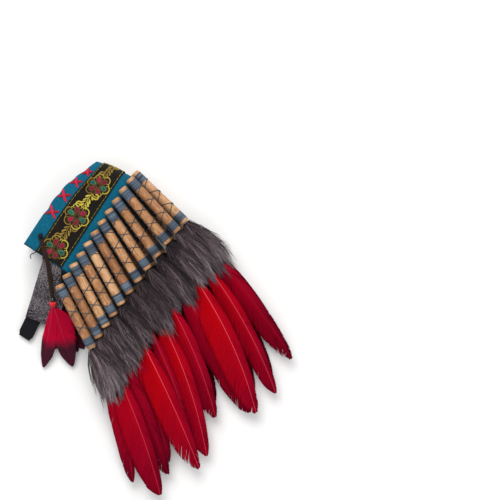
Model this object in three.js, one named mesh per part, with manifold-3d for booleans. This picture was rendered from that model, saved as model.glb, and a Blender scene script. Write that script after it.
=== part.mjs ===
// A feathered headdress, lying on its right side as it comes to rest on a table.
// A felt band carries an embroidered ribbon and a row of wrapped sticks. Each stick ends in a tuft of fur
// with a long feather in it. Two soft flaps and an elastic strap close the loop behind the head, and a lace
// with a bead and three short feathers hangs from each end of the ribbon.
//
// The frame: +X runs across the band from its brim towards the plumes, +Y along the band towards the
// forehead, and +Z up from the table. Lengths are in millimetres and angles in degrees. While it is built,
// the middle line of the ribbon lies at x = 0. At the end the part is moved so that the middle of the floor
// it covers is the origin.
import * as THREE from "three";
import { mergeVertices } from "three/addons/utils/BufferGeometryUtils.js";
import Module from "manifold-3d";

const wasm = await Module();
wasm.setup();

// Clearances
const seatGap = 0.3; // between a piece and what it is sewn, glued or tied to
const floorGap = 0.05; // lets the flap that rests flat be the lowest thing

// Felt band and ribbon
const feltThickness = 2.5;
const brimMargin = 17.5; // felt that shows between the brim and the ribbon
const ribbonWidth = 38;
const ribbonThickness = 1.2;
const stickMargin = 8.5; // felt that shows between the ribbon and the sticks
const feltUnderSticks = 52;
const frontY = 75; // the fold at the forehead
const bandEndY = -67; // where the band and the ribbon stop, beside the ear
const foldRadius = 17; // of the fold at the forehead, to the middle of the felt
const upperSlope = 0.11; // fall of the upper sheet towards the plumes, for each length along it
const brimCurl = 19; // how far the brim rolls in at the forehead
const brimFlare = 0.12; // how far the fold moves forward for each length from the brim
const curlReach = 48; // how far the roll of the brim reaches along the band

// Sticks
const stickCount = 12; // on each side
const stickPitch = 15.85; // between the axes, round the outside of the fold too
const stickRadius = 6;
const stickLength = 89;
const wrapThickness = 0.4;
const stickEndLength = 4.2; // bare wood beyond each wrapping
const topWrapLength = 12.5;
const lowWrapLength = 11;
const rearLean = -30; // of the last stick, from straight across the band
const frontLean = -10; // of the stick at the forehead
const leanPower = 2.5; // how late the lean eases towards the forehead
const underLean = 3; // what the sticks that lie below lean less
const stickSides = 8;
const backingPast = 6.5; // felt behind the sticks that reaches past the last axis

// Plumes
const plumeLength = 234; // from the stick to the tip
const tuftLength = 78;
const tuftWidth = 30;
const tuftThickness = 5;
const tuftRoll = 20; // a tuft lies over its neighbour like a shingle
const featherWide = 24; // vane behind the quill
const featherNarrow = 9; // vane in front of the quill
const quillThickness = 2;
const vaneThickness = 0.8;
const featherRoll = 11;
const upperTipHeight = 19;
const underTipHeight = 6;

// Flaps and strap behind the head
const flapThickness = 2.5;
const flapWidth = 50;
const flapHemWidth = 38;
const flapHemY = -146;
const flapBrimX = -8; // brim edge of a flap where it leaves the band
const flapSweep = 19; // how far the flap drifts towards the plumes on its way to the hem
const flapLap = 9; // sewn to the inside of the band
const flapDrape = 33; // the length over which the flap below comes down to the table
const strapWidth = 19;
const strapThickness = 1.2;
const strapReach = 23; // past the hem, up to its fold
const strapFoldRadius = 2;
const strapLap = 8;
const strapFromEdge = 0.5; // from the flap's brim edge

// Side laces with a bead and feathers
const laceRadius = 1.5;
const laceSides = 8;
const beadRadius = 3.7;
const beadHeight = 6;
const beadHole = 1.9;
const beadSides = 12;
const tieRadius = 3.6;
const tieLength = 6;
const tieSides = 10;
const sideFeatherLength = 83;
const sideFeatherWidth = 23;
// How far the side feathers on top and below are spread, how high their tips lie, and how early they sink.
const upperSide = { spread: 13, tipHeight: 6, sag: 1.15 };
const underSide = { spread: 3, tipHeight: 1.5, sag: 2.8 };

// One row for each plume of a side, from beside the ear to the forehead: for the plume on top and for the one
// that lies below it, the length as a share of the named one, and how far the tip is turned from the line of
// the stick. The last column is the feather's width, as a share of the named ones.
const plumes = [
  { length: 0.767, turn: -11, underLength: 0.7, underTurn: -10, width: 0.6 },
  { length: 0.916, turn: -6.5, underLength: 0.83, underTurn: -10, width: 1 },
  { length: 0.868, turn: -5.3, underLength: 0.82, underTurn: -9, width: 0.85 },
  { length: 0.85, turn: -8, underLength: 0.79, underTurn: -5, width: 0.85 },
  { length: 0.978, turn: -4, underLength: 0.89, underTurn: -8, width: 1.1 },
  { length: 0.885, turn: -8.2, underLength: 0.86, underTurn: -8, width: 0.5 },
  { length: 1.02, turn: -11, underLength: 0.8, underTurn: -9, width: 1 },
  { length: 0.884, turn: -10, underLength: 0.82, underTurn: -12.5, width: 0.95 },
  { length: 0.98, turn: -6.5, underLength: 0.88, underTurn: -11, width: 0.95 },
  { length: 1.038, turn: -12.8, underLength: 0.97, underTurn: -15.5, width: 1.05 },
  { length: 1.03, turn: -11.6, underLength: 0.95, underTurn: -12.5, width: 0.8 },
  { length: 0.936, turn: -7.2, underLength: 0.88, underTurn: -7.7, width: 0.85 },
];

// A tuft from the stick to its tips, as shares of its length, width and thickness.
const tuftSections = [
  { at: 0, width: 0.34, thickness: 1.2 },
  { at: 0.2, width: 0.72, thickness: 1.1 },
  { at: 0.5, width: 1, thickness: 1 },
  { at: 0.76, width: 0.92, thickness: 0.8 },
  { at: 1, width: 0.66, thickness: 0.26 },
];
// How far each lock of fur along the tuft's end reaches past its length, as a share of it.
const tuftLocks = [-0.16, 0.03, -0.1, 0.08, -0.14];

// A feather from inside the tuft to its tip: shares of the plume's length and of the two vanes' widths.
const featherSections = [
  { at: 0.24, wide: 0.2, narrow: 0.3 },
  { at: 0.34, wide: 0.66, narrow: 0.75 },
  { at: 0.48, wide: 0.95, narrow: 1 },
  { at: 0.66, wide: 1, narrow: 0.95 },
  { at: 0.82, wide: 0.86, narrow: 0.75 },
  { at: 0.93, wide: 0.55, narrow: 0.5 },
  { at: 1, wide: 0.08, narrow: 0.12 },
];

// A short side feather: shares of its length and of half its width.
const sideFeatherSections = [
  { at: 0, width: 0.14 },
  { at: 0.25, width: 0.62 },
  { at: 0.55, width: 1 },
  { at: 0.8, width: 0.78 },
  { at: 1, width: 0.16 },
];

// The way of the lace that lies on top, over the ribbon's end, the flap and down to the table. Chosen by
// hand, from the knot to the tie.
const upperLaceRoute = [
  [-22.5, -49, 53.2],
  [-16.5, -54, 53.8],
  [-10.8, -59.2, 53.8],
  [-5, -64.4, 53.8],
  [0.6, -69.7, 51.4],
  [8, -78.5, 45.6],
  [15.5, -87.5, 41.6],
  [22.8, -97, 38.6],
  [27.5, -103, 37],
  [31.5, -108.6, 34.6],
];
// The way of the lace that lies below, from under the ribbon's end along the table.
const underLaceRoute = [
  [-23, -49, 9.4],
  [-19.5, -56, 6.4],
  [-15.5, -63, 3.8],
  [-10.5, -70, 2.2],
  [-5, -77, 1.8],
  [0.5, -84.5, 1.8],
  [6, -91.5, 2.3],
  [12, -97, 3.4],
  [18.5, -101, 4.3],
];

// Places that follow from the sizes above
const brimX = -ribbonWidth / 2 - brimMargin;
const stickTopX = ribbonWidth / 2 + stickMargin;
const feltTopX = stickTopX + feltUnderSticks;
const wrapRadius = stickRadius + wrapThickness;
const underSheetZ = floorGap + 2 * wrapRadius + seatGap + feltThickness / 2;
const middleZ = underSheetZ + foldRadius;
const foldQuarter = (Math.PI / 2) * foldRadius;
const bandHalf = frontY - foldRadius - bandEndY + foldQuarter;
const stickSeat = feltThickness / 2 + seatGap + wrapRadius;
const outerQuarter = (Math.PI / 2) * (foldRadius + stickSeat);
const lastStick = stickAlong(stickCount - 0.5);
const backingHalf = lastStick + backingPast;

const radians = THREE.MathUtils.degToRad;
const clamp01 = (v) => THREE.MathUtils.clamp(v, 0, 1);
const smooth = (v) => clamp01(v) * clamp01(v) * (3 - 2 * clamp01(v));
const mix = (a, b, t) => a + (b - a) * t;
const point = (x, y, z) => new THREE.Vector3(x, y, z);

// The band's surface. u is the length along the band from the forehead, above zero on the side that lies on
// top, and x is the place across the band.
function foldLine(u) {
  const turned = Math.abs(u) < foldQuarter;
  const angle = turned ? u / foldRadius : (Math.sign(u) * Math.PI) / 2;
  const straight = turned ? 0 : Math.abs(u) - foldQuarter;
  return {
    y: frontY - foldRadius + foldRadius * Math.cos(angle) - straight,
    z: middleZ + foldRadius * Math.sin(angle),
  };
}

// Where along the band a stick is sewn on. Place 0 is the middle of the forehead, and places below zero lie
// underneath. The sticks are evenly spaced round the outside of the fold.
function stickAlong(place) {
  const outer = Math.abs(place) * stickPitch;
  const turned = Math.min(outer, outerQuarter) * (foldRadius / (foldRadius + stickSeat));
  return Math.sign(place) * (turned + Math.max(0, outer - outerQuarter));
}

function lean(u) {
  const share = clamp01(1 - Math.abs(u) / lastStick);
  const extra = u < 0 ? underLean * Math.min(1, -u / foldQuarter) : 0;
  return radians(mix(rearLean, frontLean, share ** leanPower) + extra);
}

function bandPoint(u, x) {
  const fold = foldLine(u);
  const past = x - stickTopX;
  if (past >= 0) {
    const fall = (upperSlope * (fold.z - underSheetZ)) / (2 * foldRadius);
    return point(x, fold.y + past * Math.tan(lean(u)), fold.z - fall * past);
  }
  const near = Math.exp(-((u / curlReach) ** 2));
  const roll = (past / (brimX - stickTopX)) ** 2;
  const pinch = 0.5 * near * roll;
  return point(
    x + near * roll * brimCurl,
    fold.y + near * brimFlare * past,
    mix(fold.z, middleZ, pinch),
  );
}

function bandNormal(u, x) {
  const step = 0.05;
  const along = bandPoint(u + step, x).sub(bandPoint(u - step, x));
  const across = bandPoint(u, x + step).sub(bandPoint(u, x - step));
  return across.cross(along).normalize().negate();
}

const offBand = (u, x, off) =>
  bandPoint(u, x).addScaledVector(bandNormal(u, x), off);

// A closed solid from two grids of points, an outer and an inner one, joined round their edge.
function slab(rows, columns, outer, inner) {
  const positions = [];
  for (const at of [outer, inner])
    for (let i = 0; i < rows; i++)
      for (let j = 0; j < columns; j++) positions.push(...at(i, j).toArray());
  const id = (side, i, j) => (side * rows + i) * columns + j;
  const index = [];
  const quad = (a, b, c, d) => index.push(a, b, c, a, c, d);
  for (let i = 0; i + 1 < rows; i++)
    for (let j = 0; j + 1 < columns; j++) {
      quad(id(0, i, j), id(0, i + 1, j), id(0, i + 1, j + 1), id(0, i, j + 1));
      quad(id(1, i, j), id(1, i, j + 1), id(1, i + 1, j + 1), id(1, i + 1, j));
    }
  for (let i = 0; i + 1 < rows; i++) {
    const last = columns - 1;
    quad(id(0, i, 0), id(1, i, 0), id(1, i + 1, 0), id(0, i + 1, 0));
    quad(id(0, i + 1, last), id(1, i + 1, last), id(1, i, last), id(0, i, last));
  }
  for (let j = 0; j + 1 < columns; j++) {
    const last = rows - 1;
    quad(id(0, 0, j + 1), id(1, 0, j + 1), id(1, 0, j), id(0, 0, j));
    quad(id(0, last, j), id(1, last, j), id(1, last, j + 1), id(0, last, j + 1));
  }
  return facingOut(positions, index);
}

// The geometry with its faces turned outwards, whichever way its grids ran.
function facingOut(positions, index) {
  const at = (i) => point().fromArray(positions, 3 * i);
  let volume = 0;
  for (let i = 0; i < index.length; i += 3)
    volume += at(index[i]).dot(at(index[i + 1]).cross(at(index[i + 2])));
  const geometry = new THREE.BufferGeometry();
  geometry.setAttribute("position", new THREE.Float32BufferAttribute(positions, 3));
  geometry.setIndex(volume < 0 ? index.reverse() : index);
  return geometry;
}

// Several closed geometries fused into one.
function fused(...geometries) {
  const solids = geometries.map((geometry) => {
    const bare = geometry.clone();
    bare.deleteAttribute("normal");
    bare.deleteAttribute("uv");
    const merged = mergeVertices(bare, 1e-4);
    return new wasm.Manifold(
      new wasm.Mesh({
        numProp: 3,
        vertProperties: new Float32Array(merged.attributes.position.array),
        triVerts: new Uint32Array(merged.index.array),
      }),
    );
  });
  const mesh = solids.reduce((sum, solid) => sum.add(solid)).getMesh();
  const geometry = new THREE.BufferGeometry();
  geometry.setAttribute("position", new THREE.BufferAttribute(mesh.vertProperties, 3));
  geometry.setIndex(new THREE.BufferAttribute(mesh.triVerts, 1));
  geometry.computeVertexNormals();
  return geometry;
}

const finishes = {
  felt: { color: 0x0a6a8c, roughness: 0.95, metalness: 0 },
  ribbon: { color: 0x231d1a, roughness: 0.7, metalness: 0.1 },
  flap: { color: 0x5c5860, roughness: 0.95, metalness: 0 },
  strap: { color: 0x17171d, roughness: 0.8, metalness: 0 },
  stick: { color: 0xc08650, roughness: 0.65, metalness: 0 },
  plume: { color: 0xb4061f, roughness: 0.6, metalness: 0 },
  lace: { color: 0x3a2520, roughness: 0.85, metalness: 0 },
  bead: { color: 0x15140f, roughness: 0.3, metalness: 0 },
  sideFeather: { color: 0xa3062e, roughness: 0.6, metalness: 0 },
};

const headdress = new THREE.Group();
function add(name, geometry, finish) {
  geometry.computeVertexNormals();
  const mesh = new THREE.Mesh(geometry, new THREE.MeshStandardMaterial(finishes[finish]));
  mesh.name = name;
  headdress.add(mesh);
  return mesh;
}

// Felt band: one sheet from ear to ear, longer under the sticks than along the ribbon.
function feltBand() {
  const across = [brimX, -ribbonWidth / 2, 0, ribbonWidth / 2, stickTopX + 6, feltTopX];
  const steps = 26;
  const end = (x) => (x > stickTopX ? backingHalf : bandHalf);
  const at = (off) => (i, j) => {
    const x = across[j];
    return offBand(crowded(i / steps) * end(x), x, off);
  };
  return slab(steps + 1, across.length, at(feltThickness / 2), at(-feltThickness / 2));
}

// Runs from -1 to 1, with more of its steps near 0, where the fold is.
const crowded = (share) => {
  const t = 2 * share - 1;
  return 0.45 * t + 0.55 * t ** 3;
};

// Embroidered ribbon, sewn round the outside of the felt.
function ribbon() {
  const across = [-ribbonWidth / 2, -ribbonWidth / 6, ribbonWidth / 6, ribbonWidth / 2];
  const steps = 26;
  const base = feltThickness / 2 + seatGap;
  const at = (off) => (i, j) =>
    offBand(crowded(i / steps) * (bandHalf - 1), across[j], off);
  return slab(steps + 1, across.length, at(base + ribbonThickness), at(base));
}

// A stick's axis, from its top by the ribbon to its lower end.
function stickAxis(place) {
  const u = stickAlong(place);
  const normal = bandNormal(u, stickTopX + 1);
  const along = bandPoint(u, stickTopX + 2).sub(bandPoint(u, stickTopX + 1)).normalize();
  const top = bandPoint(u, stickTopX).addScaledVector(normal, stickSeat);
  return { top, along, end: top.clone().addScaledVector(along, stickLength) };
}

function stick() {
  const shoulder = stickLength - stickEndLength;
  const profile = [
    [0, 0],
    [stickRadius, 0],
    [stickRadius, stickEndLength],
    [wrapRadius, stickEndLength],
    [wrapRadius, stickEndLength + topWrapLength],
    [stickRadius, stickEndLength + topWrapLength],
    [stickRadius, shoulder - lowWrapLength],
    [wrapRadius, shoulder - lowWrapLength],
    [wrapRadius, shoulder],
    [stickRadius, shoulder],
    [stickRadius, stickLength],
    [0, stickLength],
  ];
  const shape = profile.map(([r, y]) => new THREE.Vector2(r, y));
  return new THREE.LatheGeometry(shape, stickSides);
}

function addStick(name, place) {
  const axis = stickAxis(place);
  const mesh = add(name, stick(), "stick");
  mesh.quaternion.setFromUnitVectors(point(0, 1, 0), axis.along);
  mesh.position.copy(axis.top);
}

// A plume's frame at a length s from the stick: its place on the quill and the ways across and up. It turns
// back along an arc, and sinks from the slope of its stick to the height of its tip.
function plumeFrame(place, length, tipTurn) {
  const { along, end } = stickAxis(place);
  const side = Math.sign(place);
  const tipHeight = side > 0 ? upperTipHeight : underTipHeight;
  const heading = Math.atan2(along.y, along.x);
  const slope = (along.z / Math.hypot(along.x, along.y)) * length;
  const turn = radians(2 * tipTurn);
  const steps = 60;
  const path = [end.clone()];
  for (let i = 0; i < steps; i++) {
    const angle = heading + (turn * (i + 0.5)) / steps;
    const stride = length / steps;
    const last = path[i];
    const t = (i + 1) / steps;
    const height = mix(end.z, tipHeight, smooth(t)) + slope * t * (1 - t) ** 2;
    path.push(point(last.x + stride * Math.cos(angle), last.y + stride * Math.sin(angle), height));
  }
  return (s) => {
    const step = (s / length) * steps;
    const i = Math.min(steps - 1, Math.max(0, Math.floor(step)));
    const tangent = path[i + 1].clone().sub(path[i]).normalize();
    const origin = path[i].clone().lerp(path[i + 1], step - i);
    const front = point(0, 0, 1).cross(tangent).normalize();
    const up = tangent.clone().cross(front);
    const eased = smooth((s - 0.5 * tuftLength) / tuftLength);
    const roll = radians(side * mix(tuftRoll, featherRoll, eased));
    const across = front.clone().multiplyScalar(Math.cos(roll)).addScaledVector(up, Math.sin(roll));
    const normal = up.clone().multiplyScalar(Math.cos(roll)).addScaledVector(front, -Math.sin(roll));
    return (w, n) => origin.clone().addScaledVector(across, w).addScaledVector(normal, n);
  };
}

// A tuft of fur whose far edge ends in locks, with a feather that grows out of it.
function plume(place, row) {
  const length = plumeLength * (place > 0 ? row.length : row.underLength);
  const frame = plumeFrame(place, length, place > 0 ? row.turn : row.underTurn);
  const lanes = tuftLocks.length;
  const start = seatGap;
  const tuft = (side) => (i, j) => {
    const section = tuftSections[i];
    const lock = tuftLocks[j] * section.at ** 4;
    const lane = (2 * j) / (lanes - 1) - 1;
    const dome = 1 - 0.7 * lane * lane;
    const s = start + tuftLength * (section.at + lock);
    const w = (lane * section.width * tuftWidth) / 2;
    return frame(s)(w, (side * dome * section.thickness * tuftThickness) / 2);
  };
  const feather = (side) => (i, j) => {
    const section = featherSections[i];
    const w = [
      -section.wide * featherWide * row.width,
      0,
      section.narrow * featherNarrow * row.width,
    ][j];
    const thickness = j === 1 ? quillThickness : vaneThickness;
    return frame(section.at * length)(w, (side * thickness) / 2);
  };
  return fused(
    slab(tuftSections.length, lanes, tuft(1), tuft(-1)),
    slab(featherSections.length, 3, feather(1), feather(-1)),
  );
}

// The height of the middle of the flap that lies below: at the band it is sewn inside the felt, then it
// drapes off the felt behind the last stick and comes down flat on the table.
const underStick = stickAxis(0.5 - stickCount);
function underFlapHeight(x, y) {
  const floor = flapThickness / 2;
  const fromTop = point(x, y, 0).sub(point(underStick.top.x, underStick.top.y, 0));
  const axis = point(underStick.along.x, underStick.along.y, 0);
  const along = THREE.MathUtils.clamp(fromTop.dot(axis), 0, stickLength);
  const away = fromTop.addScaledVector(axis, -along).length() - backingPast - flapThickness;
  const sewn = underSheetZ + feltThickness / 2 + seatGap + flapThickness / 2;
  const draped = mix(floor, sewn, smooth(1 - away / flapDrape));
  return mix(draped, sewn, smooth((y - bandEndY + flapDrape) / flapDrape));
}

// The flap that lies on top starts inside the upper felt and sags down onto the other one.
function upperFlapHeight(x, y) {
  const sheet = underSheetZ + 2 * foldRadius - (feltThickness + flapThickness) / 2 - seatGap;
  const rest = underFlapHeight(x, y) + flapThickness + 2 * (strapFoldRadius + seatGap) + strapThickness;
  const share = clamp01((bandEndY - y) / (bandEndY - flapHemY));
  const start = sheet - upperSlope * Math.max(0, x - stickTopX);
  return mix(start, rest, 1 - (1 - share) ** 1.7);
}

// The flap's place across for a lane from 0 at its brim edge to 1, and its place along from 0 at the band.
function flapPlace(lane, share) {
  const lap = bandEndY + flapLap;
  const width = mix(flapWidth, flapHemWidth, clamp01(share));
  return {
    x: flapBrimX + flapSweep * share ** 1.2 + lane * width,
    y: mix(lap, flapHemY, share) + 9 * lane * share,
  };
}

function flap(height) {
  const rows = 12;
  const lanes = 7;
  const at = (side) => (i, j) => {
    const { x, y } = flapPlace(j / (lanes - 1), i / (rows - 1));
    return point(x, y, height(x, y) + (side * flapThickness) / 2);
  };
  return slab(rows, lanes, at(1), at(-1));
}

// Elastic strap: from inside the upper hem, round its fold and back to the lower hem.
function strap() {
  const brimLane = strapFromEdge / flapHemWidth;
  const hem = flapPlace(brimLane, 1);
  const under = underFlapHeight(hem.x, hem.y) + flapThickness / 2 + seatGap;
  const inner = strapFoldRadius - strapThickness / 2;
  const line = [];
  const level = under + strapThickness + inner;
  const arcSteps = 6;
  line.push([-strapLap, -1]);
  line.push([strapReach - strapFoldRadius, -1]);
  for (let k = 1; k < arcSteps; k++) line.push([k / arcSteps]);
  line.push([strapReach - strapFoldRadius, 1]);
  line.push([-strapLap, 1]);
  const at = (radius) => (i, j) => {
    const [along, side] = line[i];
    const angle = side === undefined ? Math.PI * (along - 0.5) : (side * Math.PI) / 2;
    const out = side === undefined ? strapReach - strapFoldRadius : along;
    const y = hem.y - out - radius * Math.cos(angle) * (side === undefined ? 1 : 0);
    return point(hem.x + j * strapWidth + 0.12 * out, y, level + radius * Math.sin(angle));
  };
  return slab(line.length, 2, at(inner + strapThickness), at(inner));
}

// A side lace, a round cord through its bead.
function lace(route) {
  const path = new THREE.CatmullRomCurve3(route.map(([x, y, z]) => point(x, y, z)));
  const section = new THREE.Shape();
  for (let k = 0; k < laceSides; k++) {
    const angle = (2 * Math.PI * k) / laceSides;
    const corner = [laceRadius * Math.cos(angle), laceRadius * Math.sin(angle)];
    if (k === 0) section.moveTo(...corner);
    else section.lineTo(...corner);
  }
  return new THREE.ExtrudeGeometry(section, { steps: 14, extrudePath: path });
}

// Where a lace ends, and which way it points there.
function laceEnd(route) {
  const path = new THREE.CatmullRomCurve3(route.map(([x, y, z]) => point(x, y, z)));
  return { at: path.getPoint(1), way: path.getTangent(1).normalize() };
}

function bead() {
  const half = beadHeight / 2;
  const profile = [
    [beadHole, -half],
    [beadRadius * 0.82, -half * 0.8],
    [beadRadius, 0],
    [beadRadius * 0.82, half * 0.8],
    [beadHole, half],
    [beadHole, -half],
  ];
  const shape = profile.map(([r, y]) => new THREE.Vector2(r, y));
  return new THREE.LatheGeometry(shape, beadSides);
}

// Three short feathers bound together by a tie, spread about the way the lace points.
function sideFeathers(route, { spread, tipHeight, sag }) {
  const { at, way } = laceEnd(route);
  const start = at.clone().addScaledVector(way, seatGap);
  const heading = Math.atan2(way.y, way.x);
  const tie = new THREE.CylinderGeometry(tieRadius, tieRadius, tieLength, tieSides);
  tie.translate(0, tieLength / 2, 0);
  tie.applyQuaternion(new THREE.Quaternion().setFromUnitVectors(point(0, 1, 0), way));
  tie.translate(start.x, start.y, start.z);
  const root = start.clone().addScaledVector(way, tieLength / 2);
  const blade = (turn, lift, share) => {
    const angle = heading + radians(turn);
    const side = (sign) => (i, j) => {
      const section = sideFeatherSections[i];
      const out = section.at * sideFeatherLength * share;
      const across = ((j - 1) * section.width * sideFeatherWidth) / 2;
      const height = mix(tipHeight + lift, root.z, (1 - section.at) ** sag);
      const thickness = j === 1 ? quillThickness : vaneThickness;
      return point(
        root.x + out * Math.cos(angle) - across * Math.sin(angle),
        root.y + out * Math.sin(angle) + across * Math.cos(angle),
        height + (sign * thickness) / 2,
      );
    };
    return slab(sideFeatherSections.length, 3, side(1), side(-1));
  };
  return fused(
    tie,
    blade(-spread, 0, 1),
    blade(spread, 0.3, 1),
    blade(0, 0.8, 0.72),
  );
}

function addSideLace(side, route, lie) {
  add("side_lace_" + side, lace(route), "lace");
  const { at, way } = laceEnd(route);
  const beadMesh = add("side_bead_" + side, bead(), "bead");
  beadMesh.quaternion.setFromUnitVectors(point(0, 1, 0), way);
  beadMesh.position.copy(at).addScaledVector(way, -beadHeight / 2);
  add("side_feathers_" + side, sideFeathers(route, lie), "sideFeather");
}

add("felt_band", feltBand(), "felt");
add("braid_ribbon", ribbon(), "ribbon");
add("rear_flap_left", flap(upperFlapHeight), "flap");
add("rear_flap_right", flap(underFlapHeight), "flap");
add("elastic_strap", strap(), "strap");

plumes.forEach((row, i) => {
  const number = String(i + 1).padStart(2, "0");
  const place = stickCount - 0.5 - i;
  addStick("stick_left_" + number, place);
  addStick("stick_right_" + number, -place);
  add("plume_left_" + number, plume(place, row), "plume");
  add("plume_right_" + number, plume(-place, row), "plume");
});

addSideLace("left", upperLaceRoute, upperSide);
addSideLace("right", underLaceRoute, underSide);

// The origin is on the table, in the middle of the floor that the headdress covers without its laces.
const bounds = new THREE.Box3();
headdress.updateMatrixWorld(true);
headdress.children
  .filter((mesh) => !mesh.name.startsWith("side_"))
  .forEach((mesh) => bounds.expandByObject(mesh, true));
const middle = bounds.getCenter(point());
headdress.position.set(-middle.x, -middle.y, -bounds.min.z);

export default headdress;
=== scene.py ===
"""A feathered headdress that lies on its side on a pale table, seen from straight above.

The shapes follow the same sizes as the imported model. Lengths in the making of a shape are in millimetres, in
a frame whose x = 0 is the middle line of the ribbon. shown() moves them to the model's own frame, in metres.
"""

import math

import bpy
import numpy as np
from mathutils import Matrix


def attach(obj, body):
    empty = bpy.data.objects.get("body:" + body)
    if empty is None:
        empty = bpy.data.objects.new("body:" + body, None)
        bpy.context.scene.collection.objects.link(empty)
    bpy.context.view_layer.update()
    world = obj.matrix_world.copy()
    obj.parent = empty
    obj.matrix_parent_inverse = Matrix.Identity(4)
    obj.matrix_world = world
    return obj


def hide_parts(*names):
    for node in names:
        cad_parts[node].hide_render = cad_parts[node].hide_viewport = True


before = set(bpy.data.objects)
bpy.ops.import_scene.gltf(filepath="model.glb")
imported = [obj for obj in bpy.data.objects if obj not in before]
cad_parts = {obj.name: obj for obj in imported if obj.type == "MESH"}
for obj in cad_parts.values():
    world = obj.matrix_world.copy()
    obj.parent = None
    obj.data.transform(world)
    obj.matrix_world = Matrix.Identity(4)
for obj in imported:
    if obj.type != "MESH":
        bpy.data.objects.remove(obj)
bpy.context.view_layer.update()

MM = 0.001
ORIGIN = np.array([-147.1105, 79.8430, 0.0])
UP = np.array([0.0, 0.0, 1.0])

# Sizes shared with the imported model, in millimetres.
GAP = 0.3
FLOOR_GAP = 0.05
FELT = 2.5
RIBBON_HALF = 19.0
RIBBON = 1.2
BRIM_X = -36.5
STICK_TOP_X = 27.5
FELT_TOP_X = 79.5
FRONT_Y = 75.0
BAND_END_Y = -67.0
FOLD_R = 17.0
UPPER_SLOPE = 0.11
BRIM_CURL = 19.0
BRIM_FLARE = 0.12
CURL_REACH = 48.0
STICKS = 12
PITCH = 15.85
STICK_R = 6.0
WRAP = 0.4
STICK_LENGTH = 89.0
STICK_END = 4.2
TOP_WRAP = 12.5
LOW_WRAP = 11.0
REAR_LEAN, FRONT_LEAN, LEAN_POWER, UNDER_LEAN = -30.0, -10.0, 2.5, 3.0
BACKING_PAST = 6.5
PLUME = 234.0
TUFT_LENGTH, TUFT_WIDTH, TUFT_THICK, TUFT_ROLL = 78.0, 30.0, 5.0, 20.0
VANE_WIDE, VANE_NARROW, FEATHER_ROLL = 24.0, 9.0, 11.0
UPPER_TIP_Z, UNDER_TIP_Z = 19.0, 6.0
FLAP = 2.5
FLAP_WIDTH, FLAP_HEM_WIDTH, FLAP_HEM_Y = 50.0, 38.0, -146.0
FLAP_BRIM_X, FLAP_SWEEP, FLAP_LAP, FLAP_DRAPE = -8.0, 19.0, 9.0, 33.0
STRAP_WIDTH, STRAP, STRAP_REACH, STRAP_FOLD_R = 19.0, 1.2, 23.0, 2.0
STRAP_LAP, STRAP_FROM_EDGE = 8.0, 0.5
BEAD_R, BEAD_HEIGHT = 3.7, 6.0
TIE_R, TIE_LENGTH = 3.6, 6.0
SIDE_LENGTH, SIDE_WIDTH = 83.0, 23.0

# The laces and the ties, which differ a little from their solids: flatter, wider, and wound thicker.
LACE_FLAT_W, LACE_FLAT_T = 5.6, 2.4
TIE_EXTRA = 0.5

# A row for each plume of a side, from the ear to the forehead: the length as a share of PLUME and the turn
# of the tip in degrees, on top and below, the width as a share, how deep its red is, how frayed its tip is,
# how many splits its wide vane has, and how far its fur reaches as a share of TUFT_LENGTH.
PLUMES = [
    (0.767, -11.0, 0.70, -10.0, 0.60, 0.50, 0.15, 2, 1.00),
    (0.916, -6.5, 0.83, -10.0, 1.00, 0.30, 0.05, 2, 0.90),
    (0.868, -5.3, 0.82, -9.0, 0.85, 0.62, 0.30, 1, 0.84),
    (0.850, -8.0, 0.79, -5.0, 1.00, 0.50, 0.25, 1, 0.88),
    (0.978, -4.0, 0.89, -8.0, 1.02, 0.08, 0.48, 4, 0.80),
    (0.885, -8.2, 0.86, -8.0, 0.50, 0.45, 0.20, 2, 0.76),
    (1.020, -11.0, 0.80, -9.0, 1.00, 0.12, 0.10, 1, 1.00),
    (0.884, -10.0, 0.82, -12.5, 0.95, 0.30, 0.35, 2, 0.84),
    (0.980, -6.5, 0.88, -11.0, 0.95, 0.50, 0.20, 2, 0.96),
    (1.038, -12.8, 0.97, -15.5, 1.10, 0.06, 0.50, 3, 0.90),
    (1.030, -11.6, 0.95, -12.5, 0.80, 0.20, 0.10, 2, 1.02),
    (0.936, -7.2, 0.88, -7.7, 0.85, 0.55, 0.70, 2, 1.06),
]
# How much paler the fur of each plume is, in the same order.
TUFT_PALE = (0.4, 0.35, 0.2, 0.1, 0.0, -0.05, -0.1, -0.05, 0.0, 0.1, 0.2, 0.25)
# The feathers on top that lie over both of their neighbours: how far they are lifted, and their roll.
OVER_BOTH = (2, 5, 10)
OVER_LIFT, OVER_ROLL = 3.5, -2.0

# Outlines as tables: the shares along a tuft, a vane or a side feather, and the width or thickness there.
TUFT_AT = (0.0, 0.2, 0.5, 0.76, 1.0)
TUFT_W = (0.34, 0.72, 1.0, 0.92, 0.66)
TUFT_T = (1.2, 1.1, 1.0, 0.8, 0.26)
VANE_AT = (0.24, 0.34, 0.48, 0.66, 0.82, 0.93, 1.0)
VANE_L = (0.2, 0.66, 0.95, 1.0, 0.86, 0.6, 0.24)
VANE_R = (0.3, 0.75, 1.0, 0.95, 0.8, 0.6, 0.3)
SIDE_AT = (0.0, 0.25, 0.55, 0.8, 1.0)
SIDE_W = (0.14, 0.62, 1.0, 0.78, 0.16)
BROAD_AT = (0.0, 0.1, 0.2, 0.35, 0.55, 0.75, 1.0)
BROAD_W = (0.3, 0.6, 0.85, 1.0, 0.9, 0.62, 0.14)

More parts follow.
